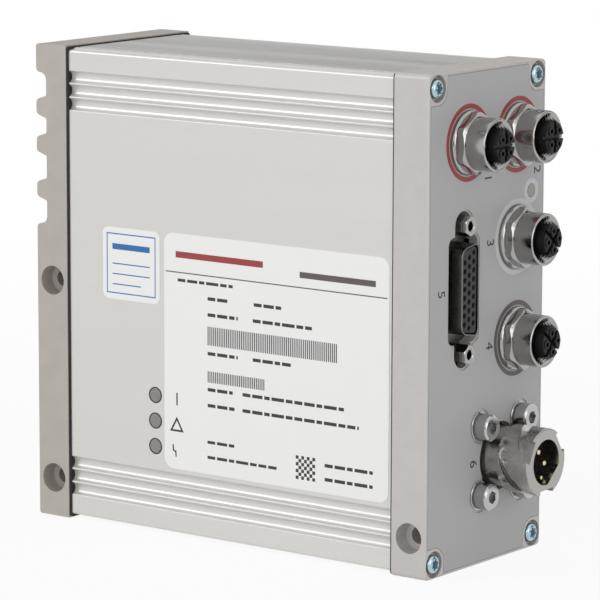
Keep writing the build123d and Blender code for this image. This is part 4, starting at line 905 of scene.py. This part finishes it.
def socket_hexagon(sizes):
    """Hexagon round the barrel with its corners turned down, its base on z = 0."""
    top = sizes.hex_thickness
    nut = hexagon("socket_hexagon", sizes.hex_width, 0.0, top)
    turn_down(nut, sizes.hex_corner, sizes.hex_face, top, slant=30, sides=96)
    sunk = 0.02 * MM  # how far the hexagon reaches into the barrel
    cut(nut, rod("hollow", sizes.barrel_radius - sunk, -2 * SPARE, top + 2 * SPARE, sides=96))
    return soften(nut, sizes.hex_edge, limit=28)


def socket_insert(sizes, reach, tail):
    """Black insulator with raised contact rings, crossed grooves and a coding groove."""
    floor = reach - sizes.bore_depth
    shoulder = floor + sizes.collar_height
    top = reach + sizes.insert_proud
    boss_height = 0.25 * MM
    bevel = 0.2 * MM
    face = top - boss_height
    profile = [
        (sizes.insert_radius, tail),
        (sizes.insert_radius, floor),
        (sizes.collar_radius, floor),
        (sizes.collar_radius, shoulder),
        (sizes.insert_radius, shoulder),
        (sizes.insert_radius, face - bevel),
        (sizes.insert_radius - bevel, face),
    ]
    insert = turned("socket_insert", profile)
    for turn in (math.radians(45), math.radians(135)):
        groove = sheet("groove", 2.1 * sizes.insert_radius, sizes.cross_width, 3 * SPARE)
        cut(insert, shift(groove, 0, 0, face - sizes.cross_depth, turn))
    for quarter in range(4):
        turn = math.radians(90 * quarter)
        x = sizes.contact_circle * math.cos(turn)
        y = sizes.contact_circle * math.sin(turn)
        boss = rod("boss", sizes.contact_boss, face - SPARE, top, sides=32)
        cut(insert, shift(boss, x, y), "UNION")
        hole = rod("hole", sizes.contact_hole, tail - SPARE, top + SPARE, sides=24)
        cut(insert, shift(hole, x, y))
    turn = math.radians(-45)
    key = sheet("key", 2 * sizes.key_depth, sizes.key_width, top)
    shift(key, sizes.insert_radius * math.cos(turn), sizes.insert_radius * math.sin(turn), shoulder, turn)
    cut(insert, key)
    return soften(insert, sizes.insert_edge, limit=40)


class UNIT_OT_data_sockets(bpy.types.Operator):
    """Model the four round data sockets"""

    bl_idname = "unit.data_sockets"
    bl_label = "Data sockets"

    def execute(self, context):
        sizes = context.scene.unit_sockets
        low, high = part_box("m12_shell_1")
        reach = high.x - PANEL_X
        tail = low.x - PANEL_X
        nut = shift(socket_hexagon(sizes), z=sizes.flange_thickness)
        shell = joined("socket_shell", [socket_shell(sizes, reach, tail), nut])
        insert = socket_insert(sizes, reach, tail)
        # Dark sleeve of painted shade in the thread's roots.
        root_shade = socket_roots(sizes, reach)
        nickel = "nickel_plating"
        black = "black_insulator"
        for number in "1234":
            cad_shell, cad_insert = f"m12_shell_{number}", f"m12_insert_{number}"
            spot = on_panel(cad_shell)
            turn = sizes.upper_turn if number in "12" else sizes.lower_turn
            fit(shell, f"socket_shell_{number}", "connectors", spot, nickel, nickel, cad_shell)
            # The thread's roots get the dark sleeve of painted shade.
            fit(root_shade, f"socket_roots_{number}", "connectors", spot, "rim_black", nickel)
            fit(insert, f"socket_insert_{number}", "connectors", spot, black, black, cad_insert, turn=turn)
        clear(shell, insert, root_shade)
        return {"FINISHED"}


# ---- Remote connector ------------------------------------------------------------------


def remote_shroud(sizes):
    """Drawn D shroud on its flange; the flange's front is z = 0."""
    under = 1.5 * MM  # where the inner cut starts under z = 0, and how far it passes the front edge
    shroud = dee("remote_shroud", sizes, 0, sizes.reach + sizes.flange_thickness, -sizes.flange_thickness)
    cut(shroud, dee("inside", sizes, -sizes.wall, sizes.reach + 2 * under, -under))
    low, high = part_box("remote_shell")
    corner, bore_radius = 1.5 * MM, 1.5 * MM
    flange = sheet("flange", high.y - low.y, high.z - low.z, sizes.flange_thickness, corner)
    shift(flange, z=-sizes.flange_thickness)
    cut(flange, dee("window", sizes, -sizes.wall / 2, 4 * SPARE, -2 * SPARE))
    for end in (-1, 1):
        bore = rod("bore", bore_radius, -2 * SPARE, 2 * SPARE, sides=32)
        cut(flange, shift(bore, y=end * sizes.jack_pitch / 2))
    cut(shroud, flange, "UNION")
    return soften(shroud, sizes.lip, limit=50, segments=3)


def remote_insulator(sizes):
    """Insulator with 26 funnelled holes."""
    root = 1.6 * MM  # how deep it stands in the panel
    face = sizes.reach - sizes.block_sink
    block = dee("remote_insulator", sizes, -sizes.wall - sizes.block_gap, face + root, -root)
    mouth = sizes.hole_radius + sizes.hole_mouth
    profile = [
        (sizes.hole_radius, face - sizes.hole_depth),
        (sizes.hole_radius, face - sizes.hole_mouth),
        (mouth, face),
        (mouth, face + SPARE),
    ]
    drills = []
    for row, first, count in PIN_ROWS:
        for i in range(count):
            drill = turned("drill", profile, sides=24)
            drills.append(shift(drill, row * sizes.row_pitch, (first - i) * sizes.pin_pitch))
    cut(block, joined("drills", drills))
    return soften(block, sizes.block_edge, limit=60)


def jackscrew(sizes):
    """Hexagonal jackscrew with a threaded hole; its seat is z = 0."""
    height = sizes.jack_height
    screw = hexagon("jackscrew", sizes.jack_width, 0.0, height)
    turn_down(screw, over_corners(sizes.jack_width), sizes.jack_corner, height, slant=35)
    bottom, funnel = 0.8 * MM, 0.3 * MM  # of the bore, from the seat and at the face
    mouth = sizes.jack_bore + funnel
    profile = [
        (sizes.jack_bore, bottom),
        (sizes.jack_bore, height - funnel),
        (mouth, height),
        (mouth, height + SPARE),
    ]
    cut(screw, turned("bore", profile, sides=32))
    shank_radius, shank_length, overlap = 1.35 * MM, 4 * MM, 0.2 * MM
    cut(screw, rod("shank", shank_radius, -shank_length, overlap, sides=32), "UNION")
    return soften(screw, sizes.jack_edge, limit=25)


class UNIT_OT_remote_connector(bpy.types.Operator):
    """Model the D-shaped remote connector and its jackscrews"""

    bl_idname = "unit.remote_connector"
    bl_label = "Remote connector"

    def execute(self, context):
        sizes = context.scene.unit_remote
        spot = centre("remote_shell")
        spot.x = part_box("remote_shell")[0].x + sizes.flange_thickness
        shroud = place(remote_shroud(sizes), "connectors", spot)
        dress(shroud, "shroud_nickel", "nickel_plating", "remote_shell")
        block = place(remote_insulator(sizes), "connectors", spot)
        dress(block, "grey_insulator", "black_insulator", "remote_block")
        model = jackscrew(sizes)
        nickel = "nickel_plating"
        for i, end in enumerate((1, -1)):
            seat = spot + Vector((0, 0, end * sizes.jack_pitch / 2))
            name = f"remote_jackscrew_{i + 1}"
            turn = math.radians(9 * i)  # the two stop at different turns
            fit(model, name, "connectors", seat, nickel, nickel, "remote_jackscrews", turn=turn)
        clear(model)
        return {"FINISHED"}


# ---- Supply inlet ----------------------------------------------------------------------


def socket_head_screw(sizes, shank):
    """Socket head cap screw standing on z = 0."""
    top = sizes.head_height
    bevel = sizes.head_bevel
    face = sizes.head_radius - bevel
    foot = 0.2 * MM
    profile = [
        (sizes.shank_radius, -shank),
        (sizes.shank_radius, 0),
        (sizes.head_radius - foot, 0),
        (sizes.head_radius, foot),
        (sizes.head_radius, top - bevel),
        (face + 0.12 * MM, top - 0.1 * MM),
        (face, top),
    ]
    screw = turned("socket_head_screw", profile, sides=56)
    base = top - sizes.key_depth
    cut(screw, hexagon("key", sizes.key_width, base, base + (sizes.key_depth + SPARE)))
    corner = over_corners(sizes.key_width)
    funnel = [(0.9 * corner, top - 0.12 * MM), (corner + 0.1 * MM, top + 0.05 * MM)]
    cut(screw, turned("funnel", funnel, sides=48))
    return soften(screw, sizes.screw_edge, limit=40)


def washer(sizes, thickness):
    """Flat ring with bevelled edges."""
    bevel = sizes.washer_bevel
    profile = [
        (sizes.washer_bore, 0),
        (sizes.washer_radius, 0),
        (sizes.washer_radius, thickness - bevel),
        (sizes.washer_radius - bevel, thickness),
        (sizes.washer_bore + bevel, thickness),
        (sizes.washer_bore, thickness - bevel),
    ]
    disc = turned("washer", profile, sides=56, closed=True)
    shade(disc)
    return disc


class UNIT_OT_power_inlet(bpy.types.Operator):
    """Model the supply inlet's rounded shell, its screws and washers"""

    bl_idname = "unit.power_inlet"
    bl_label = "Power inlet"

    def execute(self, context):
        sizes = context.scene.unit_inlet
        rounded_twin("inlet_shell", "inlet_housing", sizes.edge, "inlet_metal", limit=35)
        low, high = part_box("inlet_screws")
        disc_low, disc_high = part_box("inlet_washers")
        middle = centre("inlet_shell")
        seat = high.x - sizes.head_height
        screw = socket_head_screw(sizes, seat - low.x)
        disc = washer(sizes, disc_high.x - disc_low.x)
        steel = "stainless_steel"
        for i in range(4):
            y = middle.y + (i % 2 - 0.5) * sizes.screw_pitch
            z = middle.z + (i // 2 - 0.5) * sizes.screw_pitch
            turn = math.radians(31 * i)  # each screw stops at its own turn
            spot = (seat, y, z)
            fit(screw, f"inlet_screw_{i + 1}", "connectors", spot, steel, steel, "inlet_screws", turn=turn)
            spot = (disc_low.x, y, z)
            fit(disc, f"inlet_washer_{i + 1}", "connectors", spot, steel, steel, "inlet_washers")
        clear(screw, disc)
        return {"FINISHED"}


# ---- Labels, lights and print ----------------------------------------------------------


def field_middle(low_x, high_x, low_z, high_z, level=0.0):
    """Middle of a field on the label side, at a level over the tube."""
    return (PLATE_X + (low_x + high_x) / 2 * MM, FRONT_Y - level, (low_z + high_z) / 2 * MM)


def label_sheet(name, low_x, high_x, low_z, high_z, corner, sizes):
    """White label film on the tube."""
    piece = sheet(name, (high_x - low_x) * MM, (high_z - low_z) * MM, sizes.thickness, corner)
    soften(piece, sizes.edge, limit=50)
    place(piece, "label", field_middle(low_x, high_x, low_z, high_z))
    dress(piece, "label_film", "printed_film")


def mark(low_x, high_x, low_z, high_z, sizes):
    """Printed field on a label."""
    piece = sheet("mark", (high_x - low_x) * MM, (high_z - low_z) * MM, sizes.print_thickness)
    return place(piece, "label", field_middle(low_x, high_x, low_z, high_z, sizes.thickness))


def row(low_x, high_x, low_z, high_z, sizes):
    """Line of plain dashes of uneven length."""
    dashes, left = [], low_x
    while left < high_x - SHORTEST_DASH:
        right = min(high_x, left + DASHES[len(dashes) % len(DASHES)])
        dashes.append(mark(left, right, low_z, high_z, sizes))
        left = right + DASH_GAP
    return dashes


def bars(low_x, high_x, low_z, high_z, sizes):
    """Strip of plain upright bars, all of one width."""
    return [
        mark(low_x + i * BAR_STEP, low_x + (i + 0.5) * BAR_STEP, low_z, high_z, sizes)
        for i in range(round((high_x - low_x) / BAR_STEP))
    ]


def checks(low_x, low_z, sizes):
    """Square of plain checks."""
    across = [low_x + i * CHECK for i in range(CHECKS + 1)]
    up = [low_z + j * CHECK for j in range(CHECKS + 1)]
    dark = [(i, j) for i in range(CHECKS) for j in range(CHECKS) if (i + j) % 2 == 0]
    return [mark(across[i], across[i + 1], up[j], up[j + 1], sizes) for i, j in dark]


def printed(name, fields, ink):
    """Join fields of one colour to one printed piece."""
    dress(joined(name, fields), ink, "printed_film")


def pictograms(sizes):
    """Bar, triangle and zigzag beside the status lights."""
    level = FRONT_Y - sizes.thickness
    top = sizes.print_thickness
    bar = mark(*STATUS_BAR, sizes)
    triangle = ring("triangle", sizes.triangle - 2 * sizes.line, sizes.triangle, 0, top, sides=3)
    x, z = TRIANGLE_SPOT
    place(triangle, "label", (PLATE_X + x * MM, level, z * MM))
    strokes = []
    for x, z, reach, degrees in ZIGZAG:
        stroke = sheet("stroke", reach * MM, 0.8 * sizes.line, top)
        strokes.append(place(stroke, "label", (PLATE_X + x * MM, level, z * MM), math.radians(degrees)))
    printed("status_pictograms", [bar, triangle, *strokes], "dark_ink")


class UNIT_OT_labels(bpy.types.Operator):
    """Stick the two labels on and print their plain fields"""

    bl_idname = "unit.labels"
    bl_label = "Labels"

    def execute(self, context):
        sizes = context.scene.unit_labels
        label_sheet("rating_label", *RATING_LABEL, sizes.corner, sizes)
        printed("label_name_bar", [mark(*NAME_BAR, sizes)], "red_ink")
        rule = mark(*LABEL_RULE, sizes)
        printed("label_rule", [mark(*TITLE_BAR, sizes), rule], "brown_ink")
        printed("label_rows", [dash for line in LABEL_ROWS for dash in row(*line, sizes)], "dark_ink")
        strips = [bar for strip in LABEL_BARS for bar in bars(*strip, sizes)]
        printed("label_bars", strips + checks(*CHECK_CORNER, sizes), "dark_ink")
        label_sheet("small_label", *SMALL_LABEL, sizes.small_corner, sizes)
        printed("small_label_lines", [mark(*line, sizes) for line in SMALL_LABEL_LINES], "blue_ink")
        pictograms(sizes)
        return {"FINISHED"}


class UNIT_OT_status_lights(bpy.types.Operator):
    """Model the three domed status lights and their dark rims"""

    bl_idname = "unit.status_lights"
    bl_label = "Status lights"

    def execute(self, context):
        sizes = context.scene.unit_labels
        low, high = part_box("light_pipes")
        radius, crown = sizes.lens_radius, sizes.lens_crown
        root = 0.05 * MM  # how deep the lens sits in the tube
        profile = [(radius, -root), (radius, 0)]
        for degrees in (15, 35, 55, 75, 89):
            rise = math.radians(degrees)
            profile.append((radius * math.cos(rise), crown * math.sin(rise)))
        lens = turned("lens", profile, sides=48)
        shade(lens)
        outer, top, bevel = radius + sizes.rim, 0.6 * crown, 0.08 * MM
        profile = [(radius, 0), (outer, 0), (outer - bevel, top), (radius, top)]
        rim = turned("rim", profile, sides=48, closed=True)
        shade(rim)
        middle, half = (low + high) / 2, (high.x - low.x) / 2
        for i, height in enumerate((low.z + half, middle.z, high.z - half)):
            spot = (middle.x, FRONT_Y, height)
            fit(lens, f"status_lens_{i + 1}", "label", spot, "grey_lens", "grey_lens")
            fit(rim, f"status_rim_{i + 1}", "label", spot, "rim_black", "printed_film")
        clear(lens, rim)
        return {"FINISHED"}


def printed_ring(name, inner, outer, thickness, spot, ink):
    """Ring printed on the connector face."""
    piece = ring(name, inner, outer, 0, thickness, sides=96)
    dress(place(piece, "connectors", spot), ink, "printed_film")


def figure(number, y, z, sizes):
    """Plain number printed on the connector face, reading downwards."""
    deselect()
    bpy.ops.object.text_add()
    text = bpy.context.object
    text.data.body = number
    text.data.align_x = "CENTER"
    text.data.align_y = "CENTER"
    text.data.size = sizes.figure_height / CAPITAL_SHARE
    text.data.extrude = sizes.thickness / 2
    bpy.ops.object.convert(target="MESH")
    piece = bpy.context.object
    piece.name = "figure_" + number
    shift(piece, z=sizes.thickness / 2)
    place(piece, "connectors", (PANEL_X, y * MM, z * MM), READ_DOWN)
    dress(piece, "dark_ink", "printed_film")


class UNIT_OT_panel_print(bpy.types.Operator):
    """Print the rings and figures on the connector face"""

    bl_idname = "unit.panel_print"
    bl_label = "Panel print"

    def execute(self, context):
        sizes = context.scene.unit_print
        inner, outer, thickness = sizes.ring_inner, sizes.ring_outer, sizes.thickness
        for number, ink in SOCKET_RINGS.items():
            spot = on_panel(f"m12_shell_{number}")
            printed_ring(f"socket_ring_{number}", inner, outer, thickness, spot, ink)
        thin = 0.8 * thickness  # lies under the socket's ring where they meet
        spot = on_panel("panel_light")
        printed_ring("light_ring", sizes.dot_inner, sizes.dot_outer, thin, spot, "pale_ink")
        for number, (y, z) in FIGURES.items():
            figure(number, y, z, sizes)
        return {"FINISHED"}


# ---- Stage -----------------------------------------------------------------------------


def seen_directly(tree):
    """1 for what the camera sees, also in a gloss or through glass, and 0 for what lights the unit."""
    path = node(tree, "ShaderNodeLightPath")
    share = path.outputs["Is Camera Ray"]
    for ray in ("Is Glossy Ray", "Is Transmission Ray"):
        either = {0: share, 1: path.outputs[ray]}
        share = node(tree, "ShaderNodeMath", either, operation="MAXIMUM").outputs[0]
    return share


def floor_finish():
    """Pale floor that fades into the white background away from the unit."""
    material = bpy.data.materials.new("floor")
    material.use_nodes = True
    tree = material.node_tree
    tree.nodes.clear()
    paint = node(tree, "ShaderNodeBsdfDiffuse", {"Color": FLOOR_PAINT})
    glow = node(tree, "ShaderNodeEmission", {"Color": (1, 1, 1, 1), "Strength": 1.0})
    on_floor = node(tree, "ShaderNodeTexCoord").outputs["Object"]
    distance = node(tree, "ShaderNodeVectorMath", {0: on_floor}, operation="LENGTH").outputs["Value"]
    limits = {"From Min": FADE_START, "From Max": FADE_END, "To Min": FADE_LEAST, "To Max": 1.0}
    share = node(tree, "ShaderNodeMapRange", {"Value": distance, **limits}).outputs["Result"]
    both = {0: seen_directly(tree), 1: share}
    amount = node(tree, "ShaderNodeMath", both, operation="MULTIPLY").outputs[0]
    blend = {0: amount, 1: paint.outputs["BSDF"], 2: glow.outputs["Emission"]}
    mix = node(tree, "ShaderNodeMixShader", blend)
    node(tree, "ShaderNodeOutputMaterial", {"Surface": mix.outputs[0]})
    return material


def room(strength):
    """Even soft light, with a white background for what sees it directly or in a gloss."""
    world = bpy.data.worlds.new("room")
    bpy.context.scene.world = world
    world.use_nodes = True
    tree = world.node_tree
    tree.nodes.clear()
    limits = {"Value": seen_directly(tree), "To Min": strength, "To Max": 1.0}
    level = node(tree, "ShaderNodeMapRange", limits).outputs["Result"]
    background = node(tree, "ShaderNodeBackground", {"Color": (1, 1, 1, 1), "Strength": level})
    node(tree, "ShaderNodeOutputWorld", {"Surface": background.outputs[0]})


def facing(spot, axis):
    """Turn that points an object's axis from its spot at the unit's middle."""
    return (UNIT_MIDDLE - Vector(spot)).to_track_quat(axis, "Y").to_euler()


def lamp(name, spot, size, watts):
    """Square soft light that faces the unit's middle."""
    bpy.ops.object.light_add(type="AREA", location=spot)
    light = bpy.context.object
    light.name = name
    light.data.size = size
    light.data.energy = watts
    light.rotation_euler = facing(spot, "-Z")


def flag(name, spot, width, height):
    """Dark card that only the glossy finishes see, facing the unit."""
    bpy.ops.mesh.primitive_plane_add(size=1, location=spot)
    card = bpy.context.object
    card.name = name
    card.scale = (width, height, 1)
    card.rotation_euler = facing(spot, "Z")
    card.data.materials.append(bpy.data.materials["card"])
    for ray in ("camera", "diffuse", "transmission", "shadow"):
        setattr(card, "visible_" + ray, False)


def camera(settings):
    """Camera at the place and with the turns of the settings."""
    azimuth, elevation, roll = settings.azimuth, settings.elevation, settings.roll
    level = math.cos(elevation)
    back = Vector((math.sin(azimuth) * level, -math.cos(azimuth) * level, math.sin(elevation)))
    right = (-back).cross(Vector((0, 0, 1))).normalized()
    up = right.cross(-back)
    across = math.cos(roll) * right + math.sin(roll) * up
    upward = math.cos(roll) * up - math.sin(roll) * right
    bpy.ops.object.camera_add()
    view = bpy.context.object
    view.name = "camera"
    spot = Vector(settings.camera_place) + Vector((PLATE_X, 0, 0))
    axes = Matrix((across, upward, back)).transposed().to_4x4()
    view.matrix_world = Matrix.Translation(spot) @ axes
    view.data.lens = settings.lens
    view.data.sensor_width = SENSOR_WIDTH
    view.data.clip_start = CLIP_START
    bpy.context.scene.camera = view


class UNIT_OT_stage(bpy.types.Operator):
    """Set the floor, the room's light, the lamps and the camera"""

    bl_idname = "unit.stage"
    bl_label = "Stage"

    def execute(self, context):
        settings = context.scene.unit_stage
        deselect()
        bpy.ops.mesh.primitive_plane_add(size=settings.floor_size, location=(0, 0, UNIT_LOW.z))
        floor = bpy.context.object
        floor.name = "floor"
        floor.data.materials.append(floor_finish())
        room(settings.world_strength)
        for name, (spot, size) in LAMPS.items():
            lamp(name + "_light", spot, size, getattr(settings, name + "_power"))
        surface("card", tone(*CARD_SHADE), 0, 0.8, 1 * MM, 0)
        for name, (spot, width, height) in CARDS.items():
            flag(name, spot, width, height)
        camera(settings)
        context.scene.view_settings.view_transform = "Standard"
        return {"FINISHED"}


# ---- Add-on ----------------------------------------------------------------------------

STEPS = (
    UNIT_OT_finishes,
    UNIT_OT_end_pieces,
    UNIT_OT_case_screws,
    UNIT_OT_data_sockets,
    UNIT_OT_remote_connector,
    UNIT_OT_power_inlet,
    UNIT_OT_labels,
    UNIT_OT_status_lights,
    UNIT_OT_panel_print,
    UNIT_OT_stage,
)


class UNIT_PT_panel(bpy.types.Panel):
    """Lists the unit's pieces in the sidebar"""

    bl_idname = "UNIT_PT_panel"
    bl_label = "Drive unit"
    bl_space_type = "VIEW_3D"
    bl_region_type = "UI"
    bl_category = "Drive unit"

    def draw(self, context):
        for step in STEPS:
            self.layout.operator(step.bl_idname)


def register():
    """Register the settings, the operators and the panel."""
    for name, group in GROUPS.items():
        bpy.utils.register_class(group)
        setattr(bpy.types.Scene, name, PointerProperty(type=group))
    for step in STEPS:
        bpy.utils.register_class(step)
    bpy.utils.register_class(UNIT_PT_panel)


def unregister():
    """Take back what register() added."""
    bpy.utils.unregister_class(UNIT_PT_panel)
    for step in reversed(STEPS):
        bpy.utils.unregister_class(step)
    for name, group in GROUPS.items():
        delattr(bpy.types.Scene, name)
        bpy.utils.unregister_class(group)


def main():
    """Dress the frame."""
    register()
    bpy.ops.unit.finishes()
    bpy.ops.unit.end_pieces()
    bpy.ops.unit.case_screws()
    bpy.ops.unit.data_sockets()
    bpy.ops.unit.remote_connector()
    bpy.ops.unit.power_inlet()
    bpy.ops.unit.labels()
    bpy.ops.unit.status_lights()
    bpy.ops.unit.panel_print()
    bpy.ops.unit.stage()
    deselect()


if __name__ == "__main__":
    main()
